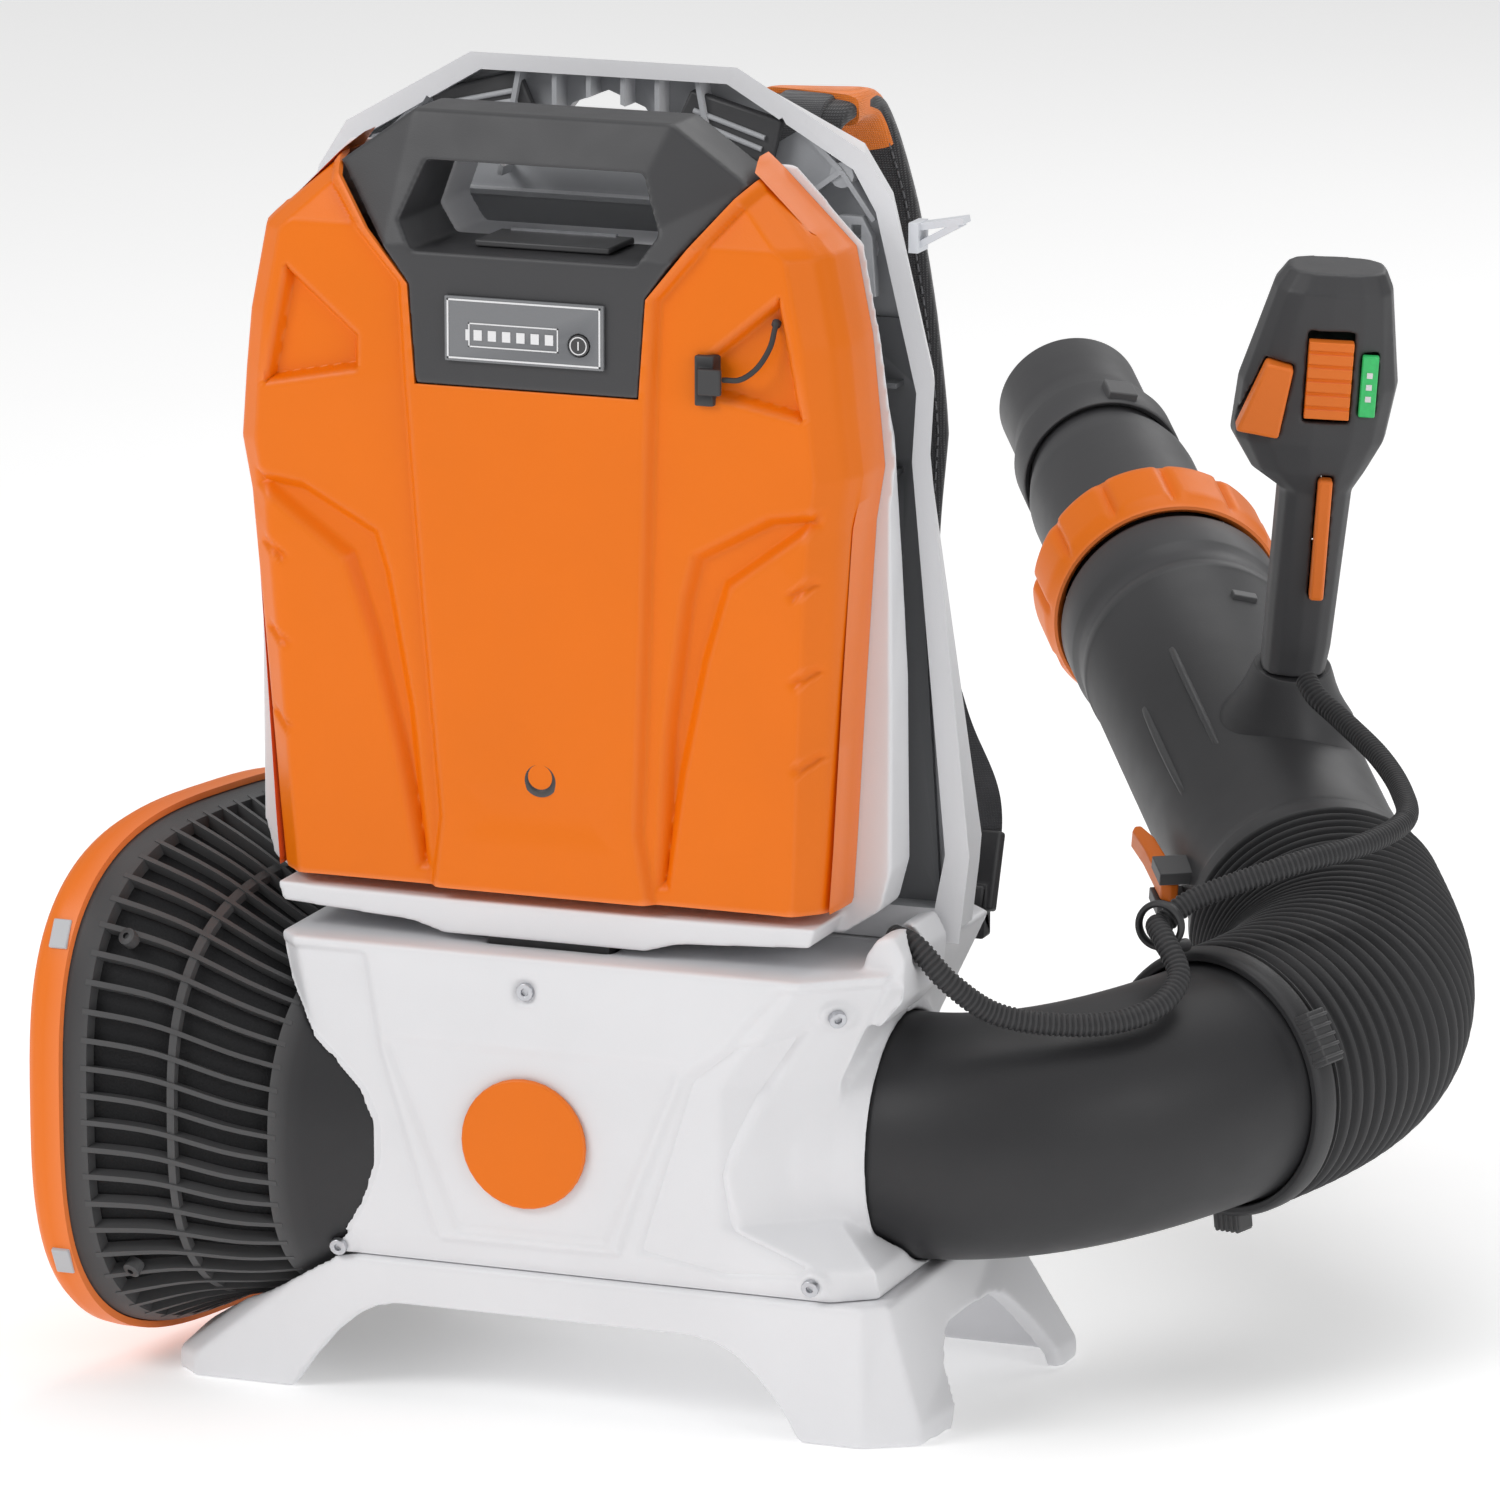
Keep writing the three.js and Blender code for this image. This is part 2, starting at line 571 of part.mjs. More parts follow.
function buildBatteryShells() {
  const outline = mirrored(PACK_HALF);
  const outside = skin([
    atY(inset(outline, -4), SHELL_SPLIT), atY(outline, -62), atY(inset(outline, 5), -76),
    atY(inset(outline, 19), -90)]);
  const panel = skin([
    atY(mirrored([[66, 250], [66, 520]]), -82),
    atY(mirrored([[56, 253], [56, 516]]), BATTERY_FRONT)]);
  const inside = skin([
    atY(inset(outline, 3), SHELL_SPLIT + 1), atY(inset(outline, 4), -60),
    atY(inset(outline, 10), -74), atY(inset(outline, 23), -86)]);
  const blockSpace = prism('y', mirrored([[54.9, 485.6], [58.4, 531.8], [103, 585.5], [63, 640]]),
    -120, SHELL_SPLIT + 1);
  const plugHole = block(81, 91, -110, -80, 484, 508);
  const shell = cut(joined(outside, panel), inside, blockSpace, plugHole);
  add('battery_shell', geometryOf(shell), ORANGE);

  const rim = mirrored([
    [62, 223], [66, 228], [134, 231], [152, 243], [157, 262], [157, 347], [156, 427],
    [159, 455], [151, 512], [143, 554], [110, 588]]);
  const rear = mirrored([
    [62, 223], [66, 228], [134, 231], [151, 243], [156, 262], [155, 347], [152, 400],
    [148, 460], [136, 518], [123, 556], [88, 580]]);
  const tray = skin([
    atY(rim, SHELL_SPLIT + GAP), atY(rear, BATTERY_BACK - 6), atY(inset(rear, 3), BATTERY_BACK)]);
  const hollow = skin([
    atY(inset(outline, 6), SHELL_SPLIT - 2), atY(inset(rear, 6), BATTERY_BACK - 4)]);
  const tunnel = prism('y', inset(HAND_OPENING, -3, 567), SHELL_SPLIT + GAP, BATTERY_BACK - 1);
  const throughHole = prism('y', HAND_OPENING, SHELL_SPLIT - 1, BATTERY_BACK + 1);
  const lip = prism('y', mirrored([
    [50, 223.4], [66, 228], [131, 232], [134, 241], [60, 240]]), -78, -38);
  const socketSpace = block(-32, 32, -75, -37, 220, HOUSING_TOP + 5);
  const emptied = joined(tray, lip).subtract(solid(hollow)).subtract(solid(socketSpace));
  const back = emptied.add(solid(tunnel)).subtract(solid(throughHole));
  add('battery_back_shell', geometryOf(back), WHITE);
}

function buildBatteryInside() {
  const cells = joined(
    block(-118, 118, -72, -12, 264, 440), block(-60, 60, -60, -12, 439, 478));
  add('cell_pack', geometryOf(cells), CHARCOAL);
}

function buildBatteryHandle() {
  const back = SHELL_SPLIT - GAP;
  const body = skin([
    atY(mirrored(BLOCK_HALF), back), atY(mirrored(BLOCK_HALF), -74),
    atY(mirrored([[54.5, 486], [58, 532], [70, 548], [40, 552]]), -96),
  ]);
  const opening = prism('y', HAND_OPENING, -120, 0);
  const scoop = prism('x', [[-20, 640], [-20, 588], [-44, 612]], -90, 90);
  const inside = block(-50, 50, -88, SHELL_SPLIT + 2, 483, 541);
  const buttonPocket = rod(
    5.4, at3(27, -99, 509), at3(27, -93, 509), 16);
  const handle = cut(solid(body), opening, scoop, inside, buttonPocket);
  add('battery_handle', geometryOf(handle), CHARCOAL);

  const screen = block(-39, 39, BATTERY_FRONT - 0.2, -96.4, 498, 528);
  add('display_panel', geometryOf(cut(solid(screen), buttonPocket)), GREY);
  add('status_button', rod(
    5, at3(27, -98.8, 509), at3(27, -95, 509), 16), CHARCOAL);
  add('connector_cover', block(-33, 33, -76, -44, 547.4, 550.4), CHARCOAL);
  const plug = joined(block(81.4, 90.6, -94, -81, 484.4, 507.6), block(84, 95, -97, -94, 490, 502));
  add('socket_plug', geometryOf(plug), RUBBER);
}

// ---------- outlet elbow, clamp and bellows ----------
const ELBOW = new THREE.CurvePath();
ELBOW.add(new THREE.LineCurve3(
  at3(121, 0, FAN_Z), at3(160, 0, FAN_Z)));
ELBOW.add(new THREE.CubicBezierCurve3(
  at3(160, 0, FAN_Z), at3(222, 0, FAN_Z + 2),
  ELBOW_END.clone().addScaledVector(ELBOW_DIR, -48), ELBOW_END));

const HOSE = new THREE.CubicBezierCurve3(
  ELBOW_END, ELBOW_END.clone().addScaledVector(ELBOW_DIR, 100),
  TUBE_START.clone().addScaledVector(TUBE_DIR, -72), TUBE_START);

const HOSE_PARTS = [['bellows_lower', 0, 0.4], ['bellows_mid', 0.4, 0.6], ['bellows_upper', 0.6, 1]];

function buildHose() {
  const steps = evenly(0, 1, 14);
  add('outlet_elbow', pipe(ELBOW, steps, () => PIPE_R, PIPE_R - PIPE_WALL, 20, 2), BLACK);

  const length = HOSE.getLength();
  const seam = GAP / length / 2;
  for (const [name, from, to] of HOSE_PARTS) {
    const folds = Math.round(((to - from) * length) / FOLD_PITCH);
    const stations = evenly(from + seam, to - seam, folds * 2);
    const radius = (i) => (i % 2 ? BELLOWS_R : BELLOWS_ROOT_R);
    add(name, pipe(HOSE, stations, radius, 55.5, 18, 4), RUBBER);
  }
}

function inFrame(origin, z, x) {
  const group = new THREE.Group();
  const right = x.clone().addScaledVector(z, -x.dot(z)).normalize();
  group.matrixAutoUpdate = true;
  group.quaternion.setFromRotationMatrix(
    new THREE.Matrix4().makeBasis(right, z.clone().cross(right), z));
  group.position.copy(origin);
  model.add(group);
  return group;
}

function buildClamp() {
  const at = inFrame(
    ELBOW_END.clone().addScaledVector(ELBOW_DIR, -8), ELBOW_DIR, at3(0, 0, 1));
  const band = turned([
    [PIPE_R + 1.7, -7], [63, -7], [64.5, -3], [64.5, 3], [63, 7], [PIPE_R + 1.7, 7]], 24);
  const buckle = block(60, 71, -13, 13, -6, 6);
  buckle.rotateZ(THREE.MathUtils.degToRad(62));
  const lug = block(60, 72, -8, 8, -5, 5);
  lug.rotateZ(THREE.MathUtils.degToRad(176));
  add('hose_clamp', geometryOf(joined(band, buckle, lug)), BLACK, at);
}

// ---------- blow tube, union nut and nozzle, built along local Z from TUBE_START ----------
const UP = at3(0, 0, 1);
function buildTube() {
  const tube = inFrame(TUBE_START, TUBE_DIR, UP);
  const body = turned([
    [53, 0.4], [62, 0.4], [62, 12], [60, 16], [TUBE_R + 2, 24], [TUBE_R, 60],
    [TUBE_R, NUT_AT - 36], [TUBE_R + 2, NUT_AT - 32], [TUBE_R + 2, NUT_AT - 6],
    [50.5, NUT_AT + 8], [50.5, NUT_AT + 12], [46.5, NUT_AT + 12], [46.5, NUT_AT - 22],
    [53, NUT_AT - 42]], 24);
  const boss = turned([[0, 36], [30, 36], [24, 62], [18, 76], [0, 76]], 16);
  const stand = at3(1, 0, 0);
  boss.applyQuaternion(new THREE.Quaternion().setFromUnitVectors(UP, stand));
  boss.translate(0, GRIP_SIDE, GRIP_AT);
  const bore = turned([[0, -20], [53, -20], [53, 260], [0, 260]], 24);
  const ears = block(-12, 12, -72, -52, 32, 50);
  const slot = block(-5.4, 5.4, -80, -58, 20, 60);
  const tubeSolid = joined(body, boss, ears).subtract(solid(bore)).subtract(solid(slot));
  add('blow_tube', geometryOf(tubeSolid), CHARCOAL, tube);

  const lever = joined(block(-5, 5, -70, -61.5, 34, 92), block(-5, 5, -71, -61.5, 76, 92));
  add('quick_lever', geometryOf(lever), ORANGE, tube);

  const flats = 12;
  let nut = solid(turned([
    [51.2, NUT_AT + 14], [54, NUT_AT], [59.2, NUT_AT], [60.5, NUT_AT + 6], [60.5, NUT_AT + 40],
    [54, NUT_AT + 52], [NOZZLE_R + 0.6, NUT_AT + 52], [NOZZLE_R + 0.6, NUT_AT + 42],
    [51.2, NUT_AT + 36]], 24));
  for (let k = 0; k < flats; k += 1) {
    const rib = block(58, 62.2, -5, 5, NUT_AT + 8, NUT_AT + 38);
    nut = nut.add(solid(rib.rotateZ((2 * Math.PI * (k + 0.5)) / flats)));
  }
  const skirtBore = turned([
    [0, NUT_AT - 4], [TUBE_R + 2.6, NUT_AT - 4], [51.2, NUT_AT + 12], [51.2, NUT_AT + 30],
    [0, NUT_AT + 30]], 24);
  add('union_nut', geometryOf(nut.subtract(solid(skirtBore))), ORANGE, tube);

  add('nozzle_tube', turned([
    [NOZZLE_R - 2.6, 240], [NOZZLE_R, 240], [NOZZLE_R, 452], [NOZZLE_R - 6, 466],
    [NOZZLE_R - 6, 480], [NOZZLE_R - 8.6, 480], [NOZZLE_R - 8.6, 464],
    [NOZZLE_R - 2.6, 450]], 24), CHARCOAL, tube);
  const tip = turned([
    [NOZZLE_R - 5.4, 470], [NOZZLE_R - 2, 468], [NOZZLE_R - 2, 492], [TIP_R, 512], [TIP_R, TIP_END],
    [TIP_R - 2.6, TIP_END], [TIP_R - 2.6, 512], [NOZZLE_R - 5.4, 488]], 24);
  const lug = block(-47, -41, -6, 6, 470, 484);
  add('nozzle_tip', geometryOf(joined(tip, lug)), BLACK, tube);
}

// ---------- control handle, built along local Z from the boss on the tube ----------
function handleOrigin() {
  const up = UP.clone().addScaledVector(TUBE_DIR, -UP.dot(TUBE_DIR)).normalize();
  const right = TUBE_DIR.clone().cross(up);
  return TUBE_START.clone().addScaledVector(TUBE_DIR, GRIP_AT)
    .addScaledVector(right, GRIP_SIDE).addScaledVector(up, 80);
}

function ovalRing(z, x0, x1, y0, y1, around = 16) {
  return Array.from({ length: around }, (_, k) => {
    const angle = (2 * Math.PI * k) / around;
    const bend = (value) => Math.sign(value) * Math.abs(value) ** 0.7;
    return at3(
      (x0 + x1) / 2 + ((x1 - x0) / 2) * bend(Math.cos(angle)),
      (y0 + y1) / 2 + ((y1 - y0) / 2) * bend(Math.sin(angle)), z);
  });
}

function buildHandle() {
  const face = at3(Math.cos(0.3665), Math.sin(0.3665), 0);
  const grip = inFrame(handleOrigin(), GRIP_DIR, face);
  const outside = skin([
    ovalRing(0, -16, 16, -17, 17), ovalRing(14, -16, 18, -18, 18),
    ovalRing(96, -15, 22, -20, 20), ovalRing(106, -30, 28, -22, 22),
    ovalRing(122, -40, 36, -24, 22), ovalRing(150, -38, 40, -25, 22),
    ovalRing(198, -24, 34, -22, 20), ovalRing(207, -18, 30, -16, 15)]);
  const inside = skin([
    ovalRing(18, -12, 14, -14, 14), ovalRing(96, -11, 18, -16, 16),
    ovalRing(126, -34, 32, -20, 18), ovalRing(194, -20, 30, -18, 16)]);
  const leverSlot = block(3, 11, -30, -9, 42, 106);
  const sliderSlot = block(-7, 16, -32, -12, 134, 180);
  const buttonSlot = prism('y', [[-39.8, 128.4], [-17.5, 125.2], [-12.3, 162.6], [-26.4, 164.7]], -34, -8);
  const triggerSlot = block(-8, 8, 8, 34, 60, 112);
  const lampSlot = block(19.6, 28.4, -32, -12, 138, 170);
  const shell = cut(
    solid(outside), inside, leverSlot, sliderSlot, buttonSlot, triggerSlot, lampSlot);
  add('handle_shell', geometryOf(shell), CHARCOAL, grip);

  add('lockout_lever', block(3.5, 10.5, -25.5, -17.6, 43, 105), ORANGE, grip);
  const slider = solid(block(-6.4, 15.4, -27.5, -21, 137, 176));
  const grooves = [143, 150, 157, 164, 171].map((z) => block(-10, 30, -29, -26.4, z - 1.2, z + 0.6));
  add('thumb_slider', geometryOf(cut(slider, ...grooves)), ORANGE, grip);
  const button = prism('y', [[-39, 129], [-18, 126], [-13, 162], [-26, 164]], -29, -16);
  add('boost_button', button, ORANGE, grip);
  add('led_window', block(20, 28, -25.6, -21.6, 138.5, 169.5), LAMP, grip);
  const trigger = joined(block(-7.5, 7.5, 12, 24, 62, 110), block(-7.5, 7.5, 20, 30, 66, 100));
  add('trigger', geometryOf(trigger), CHARCOAL, grip);
}

// ---------- cables ----------
const RING_AT = at3(254, 60, 222); // cable ring on the hose clamp

function buildCables() {
  const lower = smoothPath([
    at3(156.2, -33.5, 230.1), at3(170, -41, 227.8), at3(186, -40, 212), at3(204, -30, 197),
    at3(228, -18, 191), at3(252, -2, 190), at3(268, 16, 195), at3(272, 34, 205),
    at3(262, 46, 217), RING_AT.clone().setY(56), RING_AT.clone().setY(59.8)]);
  add('cable_lower', cord(lower, 0, 1, CABLE_R, 26), RUBBER);
  const ring = new THREE.TorusGeometry(10.5, 3, 6, 14);
  ring.rotateX(Math.PI / 2).translate(...RING_AT.toArray());
  const post = rod(3.2, at3(254, 62, 211), at3(258, 86, 207), 10);
  add('cable_ring', geometryOf(joined(ring, post)), BLACK);
  const crossing = smoothPath([
    RING_AT.clone().setY(60.2), RING_AT.clone().setY(64), at3(266, 78, 232), at3(304, 108, 245),
    at3(326, 144, 248), at3(332, 190, 250), at3(318, 230, 254), at3(296, 264, 262),
    at3(268, 292, 272), at3(252, 302, 280), at3(244, 310, 286)]);
  add('cable_upper', cord(crossing, 0, 0.498, CABLE_R, 14), RUBBER);
  add('cable_handle', cord(crossing, 0.502, 1, CABLE_R, 14), RUBBER);
}

// ---------- harness ----------
function strapBand(path, widths, thicknesses, across) {
  const curve = smoothPath(path);
  const steps = 16;
  const pick = (list, t) => {
    const place = t * (list.length - 1);
    const i = Math.min(Math.floor(place), list.length - 2);
    return THREE.MathUtils.lerp(list[i], list[i + 1], place - i);
  };
  return skin(evenly(0, 1, steps).map((t) => {
    const tangent = curve.getTangentAt(t);
    const wide = across.clone().addScaledVector(tangent, -across.dot(tangent)).normalize();
    const thick = tangent.clone().cross(wide);
    const w = pick(widths, t) / 2;
    const h = pick(thicknesses, t) / 2;
    const corners = [[-w, -h * 0.4], [-w * 0.8, -h], [w * 0.8, -h], [w, -h * 0.4],
      [w, h * 0.4], [w * 0.8, h], [-w * 0.8, h], [-w, h * 0.4]];
    return corners.map(([a, b]) => curve.getPointAt(t).clone()
      .addScaledVector(wide, a).addScaledVector(thick, b));
  }));
}

function buildHarness() {
  const pad = [[-104, 262], [104, 262], [118, 300], [112, 500], [84, 566], [-84, 566],
    [-112, 500], [-118, 300]];
  const narrowed = pad.map(([x, z]) => [x * 0.9, 415 + (z - 415) * 0.93]);
  const leaning = (outline, rise) => outline.map(([x, z]) => at3(x, plateBackAt(z) + rise, z));
  add('back_pad', skin([
    leaning(narrowed, 1), leaning(pad, 7), leaning(pad, 18), leaning(narrowed, 28)]), FABRIC);
  for (const [name, side] of [['left', -1], ['right', 1]]) {
    const at = (x, y, z) => at3(side * x, y, z);
    const end = side > 0 ? 146 : 100;
    const path = [at(74, 34, 580), at(78, 52, 596), at(80, 88, 590), at(84, 118, 530),
      at(92, 130, 450), at(100, 130, 370), at((104 + end) / 2, 116, 300), at(end, 104, 262)];
    add(`shoulder_strap_${name}`,
      strapBand(path, [46, 56, 60, 60, 58, 40, 27, 25], [8, 12, 13, 13, 12, 6, 4, 4],
        at3(side, 0.25, 0)), FABRIC);
    const buckle = block(-15, 15, -4, 4, -24, 14);
    buckle.rotateX(-0.35).translate(side * end, 99, 236);
    const tongue = block(side * end - 11, side * end + 11, HOUSING_BACK + 0.6, 98, 200, 226);
    add(`strap_buckle_${name}`, geometryOf(joined(buckle, tongue)), BLACK);
  }
}

buildBase();
buildHousing();
buildIntake();
buildBackplate();
buildLocks();
buildCableClip();
buildFan();
buildMotor();
buildElectronics();
buildBatteryShells();
buildBatteryInside();
buildBatteryHandle();
buildHose();
buildClamp();
buildTube();
buildHandle();
buildCables();
buildHarness();
screw('cover_screw_top', -3, -91.5, 203);
screw('collar_screw_top', 144, -75.5, 200.2, at3(0.57, -0.74, -0.34).normalize());
screw('collar_screw_bottom', 139, -94.9, 76.9, at3(0, -0.96, -0.28).normalize());
screw('intake_screw', -97, -93.7, 72.7, at3(0, -0.96, -0.28).normalize());

// The origin is on the ground, under the middle of the machine's overall box.
model.updateMatrixWorld(true);
const middle = new THREE.Box3().setFromObject(model, true).getCenter(at3(0, 0, 0));
model.position.set(-middle.x, -middle.y, 0);

export default model;
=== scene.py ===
"""Visual model of a backpack leaf blower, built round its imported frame."""
import json
import math

import bmesh
import bpy
from mathutils import Matrix, Vector


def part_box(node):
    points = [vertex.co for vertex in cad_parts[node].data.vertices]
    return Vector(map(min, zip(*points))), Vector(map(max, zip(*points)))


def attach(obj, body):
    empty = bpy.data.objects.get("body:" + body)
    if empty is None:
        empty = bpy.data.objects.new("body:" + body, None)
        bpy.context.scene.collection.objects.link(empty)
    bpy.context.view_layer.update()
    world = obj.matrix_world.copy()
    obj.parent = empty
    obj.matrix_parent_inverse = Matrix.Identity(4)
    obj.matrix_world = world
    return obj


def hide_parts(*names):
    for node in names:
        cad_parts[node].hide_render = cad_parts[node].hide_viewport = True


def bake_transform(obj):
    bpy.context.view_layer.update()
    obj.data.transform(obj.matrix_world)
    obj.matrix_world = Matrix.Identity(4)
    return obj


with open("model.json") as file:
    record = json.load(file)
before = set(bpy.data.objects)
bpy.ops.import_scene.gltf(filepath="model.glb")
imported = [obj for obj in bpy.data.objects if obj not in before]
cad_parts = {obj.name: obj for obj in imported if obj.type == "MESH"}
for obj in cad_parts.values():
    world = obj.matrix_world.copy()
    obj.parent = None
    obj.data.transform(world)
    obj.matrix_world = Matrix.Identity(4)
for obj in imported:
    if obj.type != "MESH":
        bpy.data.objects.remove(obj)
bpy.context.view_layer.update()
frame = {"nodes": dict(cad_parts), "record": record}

# Shapes are written in millimetres from a point on the ground under the backplate's front plane.
base_low, base_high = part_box("base_frame")
ORIGIN = Vector(((base_low.x + base_high.x) / 2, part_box("housing_cover")[0].y + 0.096, 0))
FAN_Z = 127
TAU = 2 * math.pi
MM = 0.001


def at(x, y, z):
    return Vector((x, y, z))


def metres(p):
    """From the plate's millimetres to the scene's metres."""
    return ORIGIN + p * MM


def plate_mm(p):
    """Back from the scene's metres to the plate's millimetres."""
    return (Vector(p) - ORIGIN) * 1000


# ---------- materials ----------
def nodes_of(name):
    material = bpy.data.materials.new(name)
    material.use_nodes = True
    tree = material.node_tree
    return material, tree, tree.nodes["Principled BSDF"]


def noise(tree, scale, detail=3.0):
    coords = tree.nodes.new("ShaderNodeTexCoord")
    node = tree.nodes.new("ShaderNodeTexNoise")
    node.inputs["Scale"].default_value = scale
    node.inputs["Detail"].default_value = detail
    tree.links.new(coords.outputs["Object"], node.inputs["Vector"])
    return node.outputs["Fac"]


def remap(tree, value, low, high):
    node = tree.nodes.new("ShaderNodeMapRange")
    node.inputs["To Min"].default_value = low
    node.inputs["To Max"].default_value = high
    tree.links.new(value, node.inputs["Value"])
    return node.outputs["Result"]


def mixed(tree, factor, first, second):
    node = tree.nodes.new("ShaderNodeMix")
    node.data_type = "RGBA"
    tree.links.new(factor, node.inputs["Factor"])
    for socket, value in ((node.inputs[6], first), (node.inputs[7], second)):
        if isinstance(value, tuple):
            socket.default_value = (*value, 1)
        else:
            tree.links.new(value, socket)
    return node.outputs[2]


def edge_wear(tree, low=0.52, high=0.6):
    geometry = tree.nodes.new("ShaderNodeNewGeometry")
    ramp = tree.nodes.new("ShaderNodeMapRange")
    ramp.inputs["From Min"].default_value = low
    ramp.inputs["From Max"].default_value = high
    tree.links.new(geometry.outputs["Pointiness"], ramp.inputs["Value"])
    return ramp.outputs["Result"]


def bump(tree, shader, height, distance, strength=1.0):
    node = tree.nodes.new("ShaderNodeBump")
    node.inputs["Distance"].default_value = distance
    node.inputs["Strength"].default_value = strength
    tree.links.new(height, node.inputs["Height"])
    tree.links.new(node.outputs["Normal"], shader.inputs["Normal"])


def moulded(name, colour, roughness, grain=0.00006, grain_scale=1400, worn=0.25, gloss=0.45):
    """Moulded plastic: cloudy colour, fine eroded grain, paler worn edges."""
    material, tree, shader = nodes_of(name)
    darker = tuple(c * 0.9 for c in colour)
    paler = tuple(min(1, c + (1 - c) * worn * 0.5) for c in colour)
    cloudy = mixed(tree, noise(tree, 14), darker, colour)
    tree.links.new(mixed(tree, edge_wear(tree), cloudy, paler), shader.inputs["Base Color"])
    rough = remap(tree, noise(tree, 55, 5), roughness - 0.06, roughness + 0.08)
    tree.links.new(rough, shader.inputs["Roughness"])
    bump(tree, shader, noise(tree, grain_scale, 2), grain)
    shader.inputs["Specular IOR Level"].default_value = gloss
    return material


def metal(name, colour, roughness):
    material, tree, shader = nodes_of(name)
    shader.inputs["Metallic"].default_value = 0.95
    tint = mixed(tree, noise(tree, 300), tuple(c * 0.75 for c in colour), colour)
    tree.links.new(tint, shader.inputs["Base Color"])
    rough = remap(tree, noise(tree, 600, 4), roughness - 0.08, roughness + 0.12)
    tree.links.new(rough, shader.inputs["Roughness"])
    bump(tree, shader, noise(tree, 900), 0.00003)
    return material


def waves(tree, scale, direction):
    coords = tree.nodes.new("ShaderNodeTexCoord")
    node = tree.nodes.new("ShaderNodeTexWave")
    node.bands_direction = direction
    node.inputs["Scale"].default_value = scale
    node.inputs["Distortion"].default_value = 0.4
    tree.links.new(coords.outputs["Object"], node.inputs["Vector"])
    return node.outputs["Fac"]


def woven(name, colour, pale, scale, depth):
    """Plain weave: two crossed sets of threads, fuzz on top, a painted highlight on the raised
    threads, and paler patches by noise.
    """
    material, tree, shader = nodes_of(name)
    across = waves(tree, scale, "X")
    along = waves(tree, scale, "Z")
    cross = tree.nodes.new("ShaderNodeMath")
    cross.operation = "MULTIPLY"
    tree.links.new(across, cross.inputs[0])
    tree.links.new(along, cross.inputs[1])
    # The raised threads are painted paler than the dips between them: a painted highlight on the
    # thread tops.
    threads_painted_highlight = mixed(tree, cross.outputs[0], colour, pale)
    # Noise adds paler patches over the whole cloth.
    patchy_threads = mixed(tree, noise(tree, 35, 6), threads_painted_highlight, tuple(c * 1.25 for c in pale))
    tree.links.new(patchy_threads, shader.inputs["Base Color"])
    shader.inputs["Roughness"].default_value = 0.92
    shader.inputs["Sheen Weight"].default_value = 0.35
    shader.inputs["Sheen Roughness"].default_value = 0.5
    bump(tree, shader, cross.outputs[0], depth)
    return material


def glowing(name, colour, strength):
    material, tree, shader = nodes_of(name)
    tint = mixed(tree, noise(tree, 400), tuple(c * 0.7 for c in colour), colour)
    tree.links.new(tint, shader.inputs["Base Color"])
    tree.links.new(tint, shader.inputs["Emission Color"])
    shader.inputs["Emission Strength"].default_value = strength
    shader.inputs["Roughness"].default_value = 0.3
    return material


ORANGE = moulded("orange_plastic", (0.86, 0.178, 0.0), 0.4, worn=0.12, gloss=0.28)
WHITE = moulded("white_plastic", (0.80, 0.80, 0.82), 0.42, worn=0.1)
CHARCOAL = moulded("charcoal_plastic", (0.050, 0.050, 0.053), 0.46, worn=0.12)
BLACK = moulded("black_plastic", (0.022, 0.022, 0.024), 0.48, worn=0.1)
RUBBER = moulded("rubber", (0.024, 0.024, 0.026), 0.6, grain=0.0001, grain_scale=900, worn=0.08)
GREY = moulded("grey_plastic", (0.155, 0.16, 0.17), 0.5, worn=0.15)
# Pale grey: the own colour of clips, locks and strap bars, and also painted shade in the white
# backplate's recess.
PALE_GREY = moulded("pale_grey_plastic", (0.47, 0.48, 0.50), 0.5, worn=0.15)
CLEAR = moulded("clear_plastic", (0.72, 0.74, 0.78), 0.3, worn=0.1)
STEEL = metal("zinc_steel", (0.62, 0.63, 0.66), 0.32)
CAST = metal("cast_aluminium", (0.55, 0.56, 0.58), 0.5)
COPPER = metal("copper_winding", (0.70, 0.30, 0.14), 0.35)
WEAVE = woven("pad_weave", (0.010, 0.010, 0.011), (0.035, 0.035, 0.038), 260, 0.0004)
WEBBING = woven("webbing_weave", (0.016, 0.016, 0.018), (0.055, 0.055, 0.060), 420, 0.0003)
PATCH = woven("orange_weave", (0.60, 0.12, 0.004), (0.80, 0.20, 0.01), 320, 0.0003)
THREAD = woven("stitch_thread", (0.06, 0.06, 0.065), (0.14, 0.14, 0.15), 900, 0.0001)
LAMP = glowing("lit_green", (0.03, 0.50, 0.13), 0.3)
SYMBOL = moulded("pale_print", (0.75, 0.75, 0.76), 0.5)


# ---------- mesh helpers ----------
def finish_piece(obj, body, material, replaces=(), sharp=32):
    obj.data.materials.clear()
    for one in material if isinstance(material, (list, tuple)) else [material]:
        obj.data.materials.append(one)
    obj.data.polygons.foreach_set("use_smooth", [True] * len(obj.data.polygons))
    obj.data.set_sharp_from_angle(angle=math.radians(sharp))
    if body:
        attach(obj, body)
    if replaces:
        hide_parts(*([replaces] if isinstance(replaces, str) else replaces))
    return obj


def new_object(name, points, faces):
    mesh = bpy.data.meshes.new(name)
    mesh.from_pydata([metres(p) for p in points], [], faces)
    bm = bmesh.new()
    bm.from_mesh(mesh)
    bmesh.ops.remove_doubles(bm, verts=bm.verts, dist=1e-6)
    bmesh.ops.recalc_face_normals(bm, faces=bm.faces)
    bm.to_mesh(mesh)
    bm.free()
    obj = bpy.data.objects.new(name, mesh)
    bpy.context.scene.collection.objects.link(obj)
    return obj


